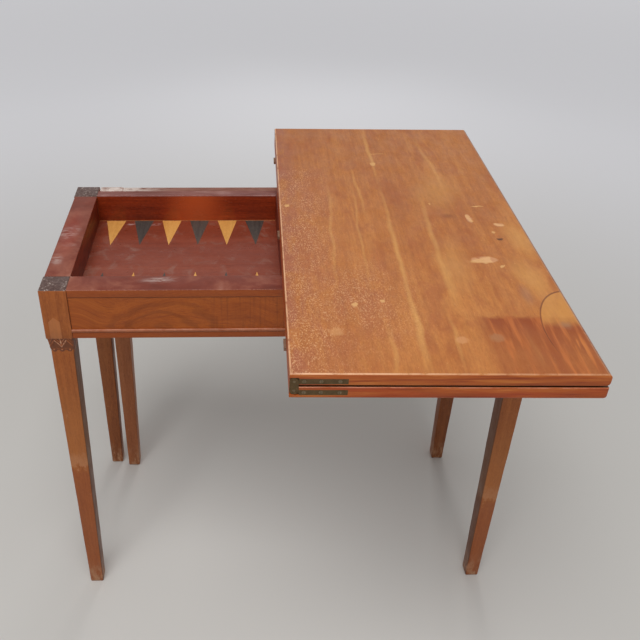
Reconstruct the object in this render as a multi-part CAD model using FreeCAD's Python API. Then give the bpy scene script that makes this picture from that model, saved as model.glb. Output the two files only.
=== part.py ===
import FreeCAD, Part
import math
import os

# A folding, turning games table: a four-legged underframe with a backgammon well, a gate leg at the
# rear, and a two-leaf top that turns on a stud and unfolds on link hinges. Millimetres, +Z up.
# It stands as the photograph shows it: the folded top turned across the frame, the well uncovered.

# Underframe
frame_length = 816.0
frame_depth = 376.0
frame_height = 719.0
apron_height = 93.0

# Legs: a square block, a hollow neck below it, then a shaft tapered on its two inner faces
leg_block = 43.5
neck_step = 1.6
neck_height = 26.0
neck_waist_height_share = 0.5
neck_waist_inset_share = 0.85
leg_inset = 4.0
leg_top_width = 37.6
foot_width = 26.0

# Front and side rails: a sunk panel between two bands, with a bead above the lower band
band_setback = 1.5
panel_sink = 1.0
top_band_height = 14.0
bottom_band_height = 11.5
bead_height = 6.0
bead_seat = 3.0
bead_projection = 1.8

# Tenons of the rails in the legs
tenon_thickness_share = 0.33
tenon_shoulder = 12.0
tenon_clearance = 0.5
mortise_play = 0.1

# Well under the top, with a bar across its middle
well_depth = 53.0
floor_thickness = 9.0
floor_groove = 6.0
groove_play = 0.1
bar_width = 42.0
bar_housing = 3.0

# Backgammon points and the string along their bases, let into the floor
points_in_row = 6
point_wall_margin = 33.0
point_bar_margin = 41.0
point_base_share = 0.69
point_length = 96.0
inlay_depth = 1.0
string_width = 2.0

# Rear rails and gate
rear_rail_thickness = 21.0
gate_rail_thickness = 19.0
gate_gap = 0.4
gate_leg_gap = 2.2
gate_rail_drop = 2.0
gate_leg_drop = 0.3
gate_leg_clearance = 1.0
gate_foot_lift = 0.5
knuckle_x = 0.0
knuckle_fingers = 5
knuckle_gap = 0.4
knuckle_pin_radius = 3.0
gate_tenon_length = 24.0

# Leaves of the top
leaf_length = 842.0
leaf_width = 414.0
leaf_thickness = 19.1
leaf_gap = 2.4
swivel_gap = 0.4
show_edge_round = 3.0
inner_edge_round = 1.5
free_show_round = 8.0
upper_free_inner_round = 8.0
lower_free_inner_round = 2.0
lipping_width = 10.0
mitre_glue = 0.1

# Link hinges in the ends of the leaves
hinge_setback = 6.2
rolling_clearance = 0.25
strap_length = 76.0
strap_width = 8.5
strap_thickness = 3.0
lower_strap_drop = 3.0
upper_strap_drop = 0.4
link_edge_gap = 0.2
link_thickness = 1.5
link_play = 0.1
link_clearance = 0.3
eye_wall = 1.2
hinge_pin_radius = 1.8
pin_play = 0.05

# Countersunk slotted screws. Small round forms like these have a few flat sides in place of a round one.
flat_sides = 8
hinge_screw_shares = (0.25, 0.54, 0.86)
hinge_screw_head_radius = 2.8
hinge_screw_radius = 1.4
hinge_screw_length = 9.0
pivot_screw_head_radius = 4.0
pivot_screw_radius = 2.0
pivot_screw_length = 13.0
bearer_screw_head_radius = 4.5
bearer_screw_radius = 2.3
bearer_screw_length = 28.0
screw_head_share = 0.75
screw_slot_width_share = 0.3
screw_slot_depth_share = 0.35

# Tongues that line the leaves up when they lie open
tongue_spread = 318.0
tongue_length = 22.0
tongue_height = 5.0
tongue_reach = 3.8
tongue_seat = 6.0
tongue_mortise_depth = 2.2
tongue_side_play = 0.5
tongue_swing_play = 1.0

# Swivel: a stud under the lower leaf, in a bearer across the frame
pivot_x = 108.65
pivot_y = 78.18
turn_angle = 88.94
bearer_width = 70.0
bearer_height = 22.0
bearer_lap = 14.0
bearer_lap_share = 0.5
bearer_play = 0.1
bearer_screw_spread_share = 0.25
stud_radius = 7.0
stud_play = 0.05
stud_end = 2.5
pivot_plate_length = 80.0
pivot_plate_width = 50.0
pivot_plate_thickness = 3.0
pivot_screw_spread_share = 0.36
washer_width = 32.0
washer_thickness = 2.0
nut_width = 22.0
nut_height = 8.0
nut_sides = 6
seat_gap = 0.3

# One overrun for every cut, and the tolerance by which edges are picked
overrun = 5.0
edge_tolerance = 0.01

# Places worked out from the sizes above
half_length = frame_length / 2
half_depth = frame_depth / 2
apron_bottom = frame_height - apron_height
rail_thickness = leg_block
rail_end = half_length - leg_block
side_rail_end = half_depth - leg_block
panel_face = band_setback + panel_sink
bead_bottom = apron_bottom + bottom_band_height
bead_top = bead_bottom + bead_height
floor_top = frame_height - well_depth
floor_bottom = floor_top - floor_thickness
gate_front = half_depth - gate_rail_thickness
rear_rail_back = gate_front - gate_gap
rear_rail_front = rear_rail_back - rear_rail_thickness
well_left = rail_thickness - half_length
well_front = rail_thickness - half_depth
leg_inner_reach = max(leg_block, leg_inset + leg_top_width)
gate_left = leg_inner_reach - half_length + gate_leg_gap
gate_leg_right = gate_left + leg_block
gate_rail_top = frame_height - gate_rail_drop
knuckle_radius = gate_rail_thickness / 2
knuckle_y = half_depth - knuckle_radius
knuckle_shoulder = knuckle_radius + knuckle_gap
finger_height = (gate_rail_top - apron_bottom) / knuckle_fingers
lower_leaf_bottom = frame_height + swivel_gap
lower_leaf_inner = lower_leaf_bottom + leaf_thickness
upper_leaf_inner = lower_leaf_inner + leaf_gap
hinge_edge = leaf_width / 2
link_half_width = hinge_setback - link_edge_gap
eye_radius = hinge_setback - eye_wall
lap_depth = link_thickness + link_play
link_reach = link_half_width + link_clearance
diagonal = math.sqrt(2)
rolling_reach = hinge_setback + leaf_gap / 2 - rolling_clearance
rolling_radius = max(inner_edge_round, (diagonal * hinge_setback - rolling_reach) / (diagonal - 1))
bearer_bottom = frame_height - bearer_height
washer_top = bearer_bottom - seat_gap
nut_top = washer_top - washer_thickness
nut_bottom = nut_top - nut_height
turn = math.radians(turn_angle)
frame_shift = pivot_x * math.sin(turn) + pivot_y * math.cos(turn) - pivot_y

Vector = FreeCAD.Vector
origin = Vector(0, 0, 0)
along_x = Vector(1, 0, 0)
along_y = Vector(0, 1, 0)
upwards = Vector(0, 0, 1)

nodes = {}


def block(xs, ys, zs, play=0.0):
    """A block between three pairs of planes, given in any order, grown all round by the play."""
    low = Vector(min(xs) - play, min(ys) - play, min(zs) - play)
    high = Vector(max(xs) + play, max(ys) + play, max(zs) + play)
    size = high.sub(low)
    return Part.makeBox(size.x, size.y, size.z, low)


def rod(radius, start, end):
    """A round rod from one point to another."""
    run = end.sub(start)
    return Part.makeCylinder(radius, run.Length, start, run)


def prism(points, run):
    """A closed outline of points, carried along a vector."""
    return Part.Face(Part.makePolygon(points + points[:1])).extrude(run)


def joined(shapes):
    """Several touching shapes as one solid."""
    return shapes[0].multiFuse(shapes[1:]).removeSplitter()


def tapered(low, high):
    """A flat-sided solid between two outlines with as many points each, given the same way round."""
    count = len(low)
    faces = [Part.Face(Part.makePolygon(outline + outline[:1])) for outline in (low, high)]
    for index in range(count):
        after = (index + 1) % count
        side = [low[index], low[after], high[after], high[index], low[index]]
        faces.append(Part.Face(Part.makePolygon(side)))
    return Part.Solid(Part.Shell(faces))


def ring(middle, direction, radius):
    """The points of a regular outline of flat sides, square to a direction."""
    turn_to = FreeCAD.Rotation(upwards, direction)
    angles = [2 * math.pi * index / flat_sides for index in range(flat_sides)]
    points = [Vector(radius * math.cos(angle), radius * math.sin(angle), 0) for angle in angles]
    return [middle.add(turn_to.multVec(point)) for point in points]


def screw(head, direction, head_radius, radius, length):
    """A slotted countersunk screw, from the middle of its head along a direction, and the hole it fills."""
    head_depth = (head_radius - radius) / screw_head_share
    neck = head.add(direction * head_depth)
    cone = tapered(ring(head, direction, head_radius), ring(neck, direction, radius))
    shank = prism(ring(neck, direction, radius), direction * (length - head_depth))
    whole = joined([cone, shank])
    width = head_radius * screw_slot_width_share
    slot = Part.makeBox(2 * head_radius + overrun, width, overrun)
    slot.translate(Vector(-head_radius - overrun / 2, -width / 2, 0))
    slot.Placement = FreeCAD.Placement(origin, FreeCAD.Rotation(upwards, direction * -1)) * slot.Placement
    slot.translate(head.add(direction * (head_radius * screw_slot_depth_share)))
    return whole.cut(slot), whole


# Legs

def square(xs, ys, height):
    """The four corners of a level outline between two pairs of lines."""
    corners = [Vector(xs[0], ys[0], height), Vector(xs[1], ys[0], height)]
    return corners + [Vector(xs[1], ys[1], height), Vector(xs[0], ys[1], height)]


def leg_section(x_side, y_side, inset, width, height):
    """The square outline of a corner leg at one height, measured in from its two outer faces."""
    xs = (x_side * (half_length - inset), x_side * (half_length - inset - width))
    ys = (y_side * (half_depth - inset), y_side * (half_depth - inset - width))
    return square(xs, ys, height)


def corner_leg(x_side, y_side):
    """A block the height of the apron, a neck hollowed under it, and a tapered shaft."""
    xs = (x_side * half_length, x_side * rail_end)
    ys = (y_side * half_depth, y_side * side_rail_end)
    head = block(xs, ys, (apron_bottom, frame_height))
    waist = apron_bottom - neck_height * neck_waist_height_share
    neck_width = leg_block - 2 * neck_step
    waist_inset = neck_step + (leg_inset - neck_step) * neck_waist_inset_share
    waist_width = neck_width + (leg_top_width - neck_width) * neck_waist_inset_share
    sections = [
        leg_section(x_side, y_side, neck_step, neck_width, apron_bottom),
        leg_section(x_side, y_side, waist_inset, waist_width, waist),
        leg_section(x_side, y_side, leg_inset, leg_top_width, apron_bottom - neck_height),
        leg_section(x_side, y_side, leg_inset, foot_width, 0),
    ]
    return joined([head] + [tapered(above, below) for above, below in zip(sections, sections[1:])])


for front, y_side in (("front", -1), ("rear", 1)):
    for side, x_side in (("left", -1), ("right", 1)):
        nodes["leg_" + front + "_" + side] = corner_leg(x_side, y_side)


# Front and side rails

def rail_outline(thickness):
    """Section of a rail as (distance in from the leg's face, height), with bands, panel and grooves."""
    groove_top = floor_top + groove_play
    outer = [(band_setback, frame_height), (band_setback, frame_height - top_band_height)]
    outer += [(panel_face, frame_height - top_band_height), (panel_face, bead_top)]
    outer += [(panel_face + bead_seat, bead_top), (panel_face + bead_seat, bead_bottom)]
    outer += [(band_setback, bead_bottom), (band_setback, apron_bottom)]
    inner = [(thickness, apron_bottom), (thickness, floor_bottom)]
    inner += [(thickness - floor_groove, floor_bottom), (thickness - floor_groove, groove_top)]
    inner += [(thickness, groove_top), (thickness, frame_height)]
    return outer + inner


def leg_tenon(near, far, middle, thickness, play=0.0):
    """A tenon along X between two places, about a middle line in Y, as long as its neighbour allows."""
    half = thickness * tenon_thickness_share / 2
    heights = (apron_bottom + tenon_shoulder, frame_height - tenon_shoulder)
    return block((near, far), (middle - half, middle + half), heights, play)


def turned(shape, degrees):
    """A copy of a shape turned about the upright line through the middle of the frame."""
    copy = shape.copy()
    copy.rotate(origin, upwards, degrees)
    return copy


tenon_length = (leg_block - rail_thickness * tenon_thickness_share) / 2 - tenon_clearance


def framed_rail(end, outer_face):
    """A rail along X at the front of a frame whose half length and half depth are given, and its bead."""
    points = [Vector(-end, inward - outer_face, height) for inward, height in rail_outline(rail_thickness)]
    body = prism(points, Vector(2 * end, 0, 0))
    middle = rail_thickness / 2 - outer_face
    tenons = [leg_tenon(side * end, side * (end + tenon_length), middle, rail_thickness) for side in (-1, 1)]
    holes = [
        leg_tenon(side * end, side * (end + tenon_length), middle, rail_thickness, mortise_play)
        for side in (-1, 1)
    ]
    band = band_setback - outer_face
    seat = panel_face + bead_seat - outer_face
    crown = Vector(-end, band - bead_projection, (bead_bottom + bead_top) / 2)
    low, high = Vector(-end, band, bead_bottom), Vector(-end, band, bead_top)
    back = Part.makePolygon([high, Vector(-end, seat, bead_top), Vector(-end, seat, bead_bottom), low])
    round_face = Part.Arc(low, crown, high).toShape()
    bead = Part.Face(Part.Wire(back.Edges + [round_face])).extrude(Vector(2 * end, 0, 0))
    return joined([body] + tenons), bead, holes


front_rail, nodes["front_bead"], front_holes = framed_rail(rail_end, half_depth)
side_rail, side_bead, side_holes = framed_rail(side_rail_end, half_length)
nodes["left_rail"] = turned(side_rail, -90)
nodes["left_bead"] = turned(side_bead, -90)
nodes["right_rail"] = turned(side_rail, 90)
nodes["right_bead"] = turned(side_bead, 90)
mortises = front_holes
mortises += [turned(hole, -90) for hole in side_holes]
mortises += [turned(hole, 90) for hole in side_holes]


# Rear rails: an inner one that closes the well, and an outer one split at the gate's knuckle

def rear_rail():
    """The inner rail, grooved for the well floor and tenoned into both rear legs."""
    body = block((-rail_end, rail_end), (rear_rail_front, rear_rail_back), (apron_bottom, frame_height))
    groove_ys = (rear_rail_front - overrun, rear_rail_front + floor_groove)
    groove_xs = (-rail_end - overrun, rail_end + overrun)
    body = body.cut(block(groove_xs, groove_ys, (floor_bottom, floor_top + groove_play)))
    middle = (rear_rail_front + rear_rail_back) / 2
    places = [(side * rail_end, side * (rail_end + tenon_length)) for side in (-1, 1)]
    for near, far in places:
        mortises.append(leg_tenon(near, far, middle, rear_rail_thickness, mortise_play))
    return joined([body] + [leg_tenon(near, far, middle, rear_rail_thickness) for near, far in places])


def knuckle_fingers_at(first, shoulder, gap):
    """Every second finger of the knuckle from the first one, reaching from the shoulder round the pin."""
    fingers = []
    for index in range(first, knuckle_fingers, 2):
        low = apron_bottom + index * finger_height + gap
        high = low + finger_height - 2 * gap
        fingers.append(block((shoulder, knuckle_x), (gate_front, half_depth), (low, high)))
        foot = Vector(knuckle_x, knuckle_y, low)
        fingers.append(rod(knuckle_radius, foot, Vector(knuckle_x, knuckle_y, high)))
    return fingers


def knuckle_bore():
    """The hole for the knuckle pin, through all the fingers."""
    low = Vector(knuckle_x, knuckle_y, apron_bottom - overrun)
    high = Vector(knuckle_x, knuckle_y, frame_height + overrun)
    return rod(knuckle_pin_radius + pin_play, low, high)


def rear_fixed_rail():
    """The right half of the outer rail, against the inner one, with the knuckle's fixed fingers."""
    shoulder = knuckle_x + knuckle_shoulder
    body = block((shoulder, rail_end), (rear_rail_back, half_depth), (apron_bottom, gate_rail_top))
    tenon_end = rail_end + tenon_length
    end = leg_tenon(rail_end, tenon_end, knuckle_y, gate_rail_thickness)
    mortises.append(leg_tenon(rail_end, tenon_end, knuckle_y, gate_rail_thickness, mortise_play))
    return joined([body, end] + knuckle_fingers_at(0, shoulder, 0)).cut(knuckle_bore())


def gate_tenon(play=0.0):
    """The tenon of the gate rail in the head of the gate leg."""
    half = gate_rail_thickness * tenon_thickness_share / 2
    heights = (apron_bottom + tenon_shoulder, gate_rail_top - tenon_shoulder)
    xs = (gate_leg_right - gate_tenon_length, gate_leg_right)
    return block(xs, (knuckle_y - half, knuckle_y + half), heights, play)


def gate_rail():
    """The swinging left half of the outer rail, with the knuckle's other fingers."""
    shoulder = knuckle_x - knuckle_shoulder
    body = block((gate_leg_right, shoulder), (gate_front, half_depth), (apron_bottom, gate_rail_top))
    return joined([body, gate_tenon()] + knuckle_fingers_at(1, shoulder, knuckle_gap)).cut(knuckle_bore())


def gate_leg():
    """A head as thin as the gate rail over a square shaft that passes under the inner rail."""
    shaft_top = apron_bottom - gate_leg_clearance
    head_top = frame_height - gate_leg_drop
    head = block((gate_left, gate_leg_right), (gate_front, half_depth), (shaft_top, head_top))
    shaft_front = half_depth - leg_inset - leg_top_width
    outlines = []
    for width, height in ((leg_top_width, shaft_top), (foot_width, gate_foot_lift)):
        outlines.append(square((gate_left, gate_left + width), (shaft_front, shaft_front + width), height))
    shaft = tapered(outlines[0], outlines[1])
    return joined([head, shaft]).cut(gate_tenon(mortise_play))


inner_rear_rail = rear_rail()
nodes["rear_fixed_rail"] = rear_fixed_rail()
nodes["gate_rail"] = gate_rail()
nodes["gate_leg"] = gate_leg()
pin_foot = Vector(knuckle_x, knuckle_y, apron_bottom)
nodes["knuckle_pin"] = rod(knuckle_pin_radius, pin_foot, Vector(knuckle_x, knuckle_y, gate_rail_top))


# Swivel bearer, lapped into the front rail and the inner rear rail

def bearer_blocks(play):
    """The bearer's full-height middle and the thinner lap that runs on over both rails."""
    xs = (pivot_x - bearer_width / 2 - play, pivot_x + bearer_width / 2 + play)
    lap_bottom = frame_height - bearer_height * bearer_lap_share
    middle = block(xs, (well_front, rear_rail_front), (bearer_bottom, frame_height))
    lap_ys = (well_front - bearer_lap - play, rear_rail_front + bearer_lap + play)
    return middle, block(xs, lap_ys, (lap_bottom, frame_height + play))


def bearer_screws():
    """Two screws down through each lap into the rail below: each as a screw and as the hole it fills."""
    spread = bearer_width * bearer_screw_spread_share
    for y in (well_front - bearer_lap / 2, rear_rail_front + bearer_lap / 2):
        for x in (pivot_x - spread, pivot_x + spread):
            head = Vector(x, y, frame_height)
            radii = (bearer_screw_head_radius, bearer_screw_radius)
            yield screw(head, upwards * -1, *radii, bearer_screw_length)


screw_pairs = list(bearer_screws())
screw_holes = [hole for _, hole in screw_pairs]
pivot_foot = Vector(pivot_x, pivot_y, 0)
stud_bore = rod(stud_radius + stud_play, pivot_foot, Vector(pivot_x, pivot_y, frame_height + overrun))
nodes["pivot_bearer"] = joined(list(bearer_blocks(0))).cut(screw_holes + [stud_bore])
nodes["bearer_screws"] = Part.makeCompound([solid for solid, _ in screw_pairs])
bearer_notch = bearer_blocks(bearer_play)[1]


# Well: floor in the rails' grooves, bar across the middle, points and strings let into the floor

def bar_block(play):
    """The bar between the two halves of the well, standing on the floor and housed in both rails."""
    ys = (well_front - bar_housing, rear_rail_front + bar_housing)
    return block((-bar_width / 2, bar_width / 2), ys, (floor_top, frame_height), play)


def point_places():
    """The middle of each point's base from left to right, mirrored about the bar."""
    row = -bar_width / 2 - well_left - point_wall_margin - point_bar_margin
    pitch = row / (points_in_row - 1)
    left = [well_left + point_wall_margin + index * pitch for index in range(points_in_row)]
    return left + [-x for x in reversed(left)], pitch


def inlay(points):
    """A flat piece let into the floor, flush with its top."""
    return prism([Vector(x, y, floor_top) for x, y in points], Vector(0, 0, -inlay_depth))


def points_of(parity):
    """Every second point of the far row from one end, and every second of the near row from the other."""
    places, pitch = point_places()
    half = pitch * point_base_share / 2
    far_base = rear_rail_front - string_width
    near_base = well_front + string_width
    pieces = []
    for index, x in enumerate(places):
        base, tip = (far_base, far_base - point_length)
        if index % 2 != parity:
            base, tip = (near_base, near_base + point_length)
        pieces.append(inlay([(x - half, base), (x + half, base), (x, tip)]))
    return pieces


def strings():
    """A light string along the front and rear of each half of the floor."""
    pieces = []
    front = (well_front, well_front + string_width)
    rear = (rear_rail_front - string_width, rear_rail_front)
    for x0, x1 in ((well_left, -bar_width / 2), (bar_width / 2, -well_left)):
        for y0, y1 in (front, rear):
            pieces.append(inlay([(x0, y0), (x1, y0), (x1, y1), (x0, y1)]))
    return pieces


def well_floor(inlays):
    """One board in the grooves of all four rails, notched round the legs and pocketed for the inlays."""
    reach = floor_groove - groove_play
    xs = (well_left - reach, reach - well_left)
    board = block(xs, (well_front - reach, rear_rail_front + reach), (floor_bottom, floor_top))
    notches = []
    for x_side in (-1, 1):
        for y_side in (-1, 1):
            x_run = (x_side * rail_end, x_side * half_length)
            y_run = (y_side * side_rail_end, y_side * half_depth)
            notches.append(block(x_run, y_run, (apron_bottom, frame_height), groove_play))
    return board.cut(notches + inlays)


light_points = points_of(0)
dark_points = points_of(1)
floor_strings = strings()
nodes["well_floor"] = well_floor(light_points + dark_points + floor_strings)
nodes["points_light"] = Part.makeCompound(light_points)
nodes["points_dark"] = Part.makeCompound(dark_points)
nodes["well_strings"] = Part.makeCompound(floor_strings)
nodes["well_bar"] = bar_block(0)
rail_cuts = [bearer_notch, bar_block(groove_play).cut(block(
    (-bar_width, bar_width), (-half_depth, half_depth), (floor_bottom, floor_top)))]
nodes["front_rail"] = front_rail.cut(rail_cuts + screw_holes)
nodes["rear_rail"] = inner_rear_rail.cut(rail_cuts + screw_holes)
for name in ("leg_front_left", "leg_front_right", "leg_rear_left", "leg_rear_right"):
    nodes[name] = nodes[name].cut(mortises)


# Leaves of the top. Each is made flat with its hinge edge along X at y = 0 and its inner face at z = 0.

def rounded_off(blank, y_inside, y_outside, z_inside, z_outside, radius):
    """The blank with one long arris taken off to a round whose axis lies inside the board."""
    half = leaf_length / 2 + overrun
    corner = block((-half, half), (y_inside, y_outside), (z_inside, z_outside))
    start = Vector(-half - overrun, y_inside, z_inside)
    return blank.cut(corner.cut(rod(radius, start, Vector(half + overrun, y_inside, z_inside))))


def leaf_blank(free_inner_round):
    """One leaf: eased ends, a rounded free edge, and the inner hinge edge rounded to roll clear."""
    half = leaf_length / 2
    blank = block((-half, half), (-leaf_width, 0), (-leaf_thickness, 0))
    show = [edge for edge in blank.Edges if edge.BoundBox.ZMax < edge_tolerance - leaf_thickness]
    show = [edge for edge in show if edge.BoundBox.YMax > edge_tolerance - leaf_width]
    blank = blank.makeFillet(show_edge_round, show)
    inner = [edge for edge in blank.Edges if edge.BoundBox.ZMin > -edge_tolerance]
    inner = [edge for edge in inner if edge.BoundBox.XLength < edge_tolerance]
    blank = blank.makeFillet(inner_edge_round, inner)
    blank = rounded_off(blank, -rolling_radius, overrun, -rolling_radius, overrun, rolling_radius)
    free = -leaf_width - overrun
    show_axis = free_show_round - leaf_thickness
    blank = rounded_off(
        blank, free_show_round - leaf_width, free, show_axis, -leaf_thickness - overrun, free_show_round)
    inner_y = free_inner_round - leaf_width
    return rounded_off(blank, inner_y, free, -free_inner_round, overrun, free_inner_round)


def leaf_core_and_lipping(free_inner_round):
    """A board inside four lippings, parted at the corners of the leaf by the glue in their mitres."""
    blank = leaf_blank(free_inner_round)
    half = leaf_length / 2
    core_xs = (lipping_width - half, half - lipping_width)
    core_ys = (lipping_width - leaf_width, -lipping_width)
    core = block(core_xs, core_ys, (-leaf_thickness, 0))
    outer = [(-half - overrun, overrun), (half + overrun, overrun)]
    outer += [(half + overrun, -leaf_width - overrun), (-half - overrun, -leaf_width - overrun)]
    inner = [(core_xs[0], core_ys[1]), (core_xs[1], core_ys[1])]
    inner += [(core_xs[1], core_ys[0]), (core_xs[0], core_ys[0])]
    glue = mitre_glue / 2
    seams = []
    for (x_out, y_out), (x_in, y_in) in zip(outer, inner):
        corners = [(x_out - glue, y_out), (x_out + glue, y_out), (x_in + glue, y_in), (x_in - glue, y_in)]
        points = [Vector(x, y, overrun) for x, y in corners]
        seams.append(prism(points, Vector(0, 0, -leaf_thickness - 2 * overrun)))
    return core, blank.cut([core] + seams).Solids


def hinge_strap(end, drop):
    """A strap flush in one end of a leaf, thinned under the link to an eye round the pin, and its recess."""
    face = end * leaf_length / 2
    back, lap = face - end * strap_thickness, face - end * lap_depth
    clear = face + end * overrun
    middle = -hinge_setback - drop
    zs = (middle - strap_width / 2, middle + strap_width / 2)
    step = -hinge_setback - link_reach
    bar = block((face, back), (-strap_length, step), zs)
    tail = block((lap, back), (step, -hinge_setback), zs)
    eye_end = Vector(back, -hinge_setback, -hinge_setback)
    eye = rod(eye_radius, Vector(lap, -hinge_setback, -hinge_setback), eye_end)
    bore_end = Vector(back - end * overrun, -hinge_setback, -hinge_setback)
    bore = rod(hinge_pin_radius + pin_play, Vector(clear, -hinge_setback, -hinge_setback), bore_end)
    eye_reach = (eye_radius + link_clearance) / math.cos(math.pi / flat_sides)
    eye_seat = ring(eye_end, along_x * end, eye_reach)
    recess = [
        block((clear, back), (-strap_length, -hinge_setback), zs),
        prism(eye_seat, Vector(clear - back, 0, 0)),
        block((clear, lap), (-hinge_setback - link_reach, overrun), (-hinge_setback - link_reach, overrun)),
    ]
    pairs = []
    for share in hinge_screw_shares:
        head = Vector(face, -strap_length * share, middle)
        pairs.append(screw(
            head, along_x * -end, hinge_screw_head_radius, hinge_screw_radius, hinge_screw_length))
    strap = joined([bar, tail, eye]).cut([bore] + [hole for _, hole in pairs])
    return strap, recess, pairs


def tongue_blocks(y_from, y_to, side_play, height_play):
    """A block at each of the three places of the tongues, between two distances from the hinge edge."""
    half_width = tongue_length / 2 + side_play
    half_height = tongue_height / 2 + height_play
    zs = (-leaf_thickness / 2 - half_height, -leaf_thickness / 2 + half_height)
    places = (-tongue_spread, 0, tongue_spread)
    return [block((x - half_width, x + half_width), (y_from, y_to), zs) for x in places]


def leaf_pieces(drop, free_inner_round, edge_cuts):
    """Core, lipping, straps and strap screws of one leaf, cut to fit each other."""
    core, strips = leaf_core_and_lipping(free_inner_round)
    straps, screws, seats, holes = [], [], [], []
    for end in (-1, 1):
        strap, recess, pairs = hinge_strap(end, drop)
        straps.append(strap)
        seats += recess
        screws += [solid for solid, _ in pairs]
        holes += [hole for _, hole in pairs]
    strips = [strip.cut(seats + holes + edge_cuts) for strip in strips]
    return core.cut(holes), strips, straps, screws


# Swivel stud, its plate under the lower leaf, and the washer and nut under the bearer

def pivot_disc(radius, bottom, top):
    """A round slice about the swivel line."""
    return rod(radius, Vector(pivot_x, pivot_y, bottom), Vector(pivot_x, pivot_y, top))


def pivot_slab(length, width, bottom, top):
    """A flat slab centred on the swivel line."""
    xs = (pivot_x - length / 2, pivot_x + length / 2)
    return block(xs, (pivot_y - width / 2, pivot_y + width / 2), (bottom, top))


def pivot_plate_screws():
    """Screws up through the corners of the plate into the leaf, and the holes they fill."""
    for x_side in (-1, 1):
        for y_side in (-1, 1):
            x = pivot_x + x_side * pivot_plate_length * pivot_screw_spread_share
            y = pivot_y + y_side * pivot_plate_width * pivot_screw_spread_share
            head = Vector(x, y, lower_leaf_bottom)
            yield screw(head, upwards, pivot_screw_head_radius, pivot_screw_radius, pivot_screw_length)


def pivot_nut():
    """A six-sided nut on the end of the stud."""
    corner = nut_width / 2 / math.cos(math.pi / nut_sides)
    angles = [2 * math.pi * index / nut_sides for index in range(nut_sides)]
    points = [
        Vector(pivot_x + corner * math.cos(angle), pivot_y + corner * math.sin(angle), nut_bottom)
        for angle in angles
    ]
    bore = pivot_disc(stud_radius + stud_play, nut_bottom - overrun, nut_top + overrun)
    return prism(points, Vector(0, 0, nut_height)).cut(bore)


# The top put together over the frame, closed, and then turned on its stud

def lower_place(shape):
    """Sets a piece of the lower leaf in place, inner face up and hinge edge at the rear."""
    copy = shape.copy()
    copy.translate(Vector(0, hinge_edge, lower_leaf_inner))
    return copy


def upper_place(shape):
    """Sets a piece of the upper leaf in place, inner face down over the lower leaf."""
    copy = shape.copy()
    copy.rotate(origin, along_y, 180)
    copy.translate(Vector(0, hinge_edge, upper_leaf_inner))
    return copy


def hinge_link(end):
    """A round-ended link across the ends of both straps, and its two pins."""
    face = end * leaf_length / 2
    y = hinge_edge - hinge_setback
    heights = (lower_leaf_inner - hinge_setback, upper_leaf_inner + hinge_setback)
    back = face - end * link_thickness
    body = [block((face, back), (y - link_half_width, y + link_half_width), heights)]
    body += [rod(link_half_width, Vector(face, y, z), Vector(back, y, z)) for z in heights]
    pin_end = face - end * strap_thickness
    pins = [rod(hinge_pin_radius, Vector(face, y, z), Vector(pin_end, y, z)) for z in heights]
    holes = [rod(hinge_pin_radius + pin_play, Vector(face, y, z), Vector(pin_end, y, z)) for z in heights]
    return joined(body).cut(holes), pins


tongues = tongue_blocks(-tongue_seat, tongue_reach, 0, 0)
tongue_mortises = tongue_blocks(-tongue_mortise_depth, overrun, tongue_side_play, tongue_swing_play)
core, strips, straps, screws = leaf_pieces(lower_strap_drop, lower_free_inner_round, tongues)
plate_pairs = list(pivot_plate_screws())
plate_holes = [hole for _, hole in plate_pairs]
plate_top = lower_leaf_bottom + pivot_plate_thickness
plate = pivot_slab(pivot_plate_length, pivot_plate_width, lower_leaf_bottom, plate_top)
plate_bore = pivot_disc(stud_radius + stud_play, lower_leaf_bottom, plate_top)
top_nodes = {
    "lower_leaf": lower_place(core).cut([plate] + plate_holes),
    "lower_leaf_lipping": Part.makeCompound([lower_place(strip) for strip in strips]),
    "lower_hinge_straps": Part.makeCompound([lower_place(strap) for strap in straps]),
    "lower_hinge_screws": Part.makeCompound([lower_place(solid) for solid in screws]),
    "alignment_tongues": Part.makeCompound([lower_place(tongue) for tongue in tongues]),
    "pivot_plate": plate.cut([plate_bore] + plate_holes),
    "pivot_plate_screws": Part.makeCompound([solid for solid, _ in plate_pairs]),
    "pivot_stud": pivot_disc(stud_radius, nut_bottom - stud_end, plate_top),
    "pivot_washer": pivot_slab(washer_width, washer_width, nut_top, washer_top).cut(stud_bore),
    "pivot_nut": pivot_nut(),
}
core, strips, straps, screws = leaf_pieces(upper_strap_drop, upper_free_inner_round, tongue_mortises)
top_nodes["upper_leaf"] = upper_place(core)
top_nodes["upper_leaf_lipping"] = Part.makeCompound([upper_place(strip) for strip in strips])
top_nodes["upper_hinge_straps"] = Part.makeCompound([upper_place(strap) for strap in straps])
top_nodes["upper_hinge_screws"] = Part.makeCompound([upper_place(solid) for solid in screws])
hinges = [hinge_link(end) for end in (-1, 1)]
top_nodes["hinge_links"] = Part.makeCompound([link for link, _ in hinges])
top_nodes["hinge_pins"] = Part.makeCompound([pin for _, pins in hinges for pin in pins])
for name, shape in top_nodes.items():
    shape.rotate(Vector(pivot_x, pivot_y, 0), upwards, turn_angle)
    nodes[name] = shape

# Written out with the middle of the turned top over the origin
os.makedirs("parts", exist_ok=True)
for name, shape in nodes.items():
    shape.translate(Vector(0, frame_shift, 0))
    shape.exportStep("parts/" + name + ".step")
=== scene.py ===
import math

import bpy
import numpy as np
from mathutils import Matrix, Vector


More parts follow.
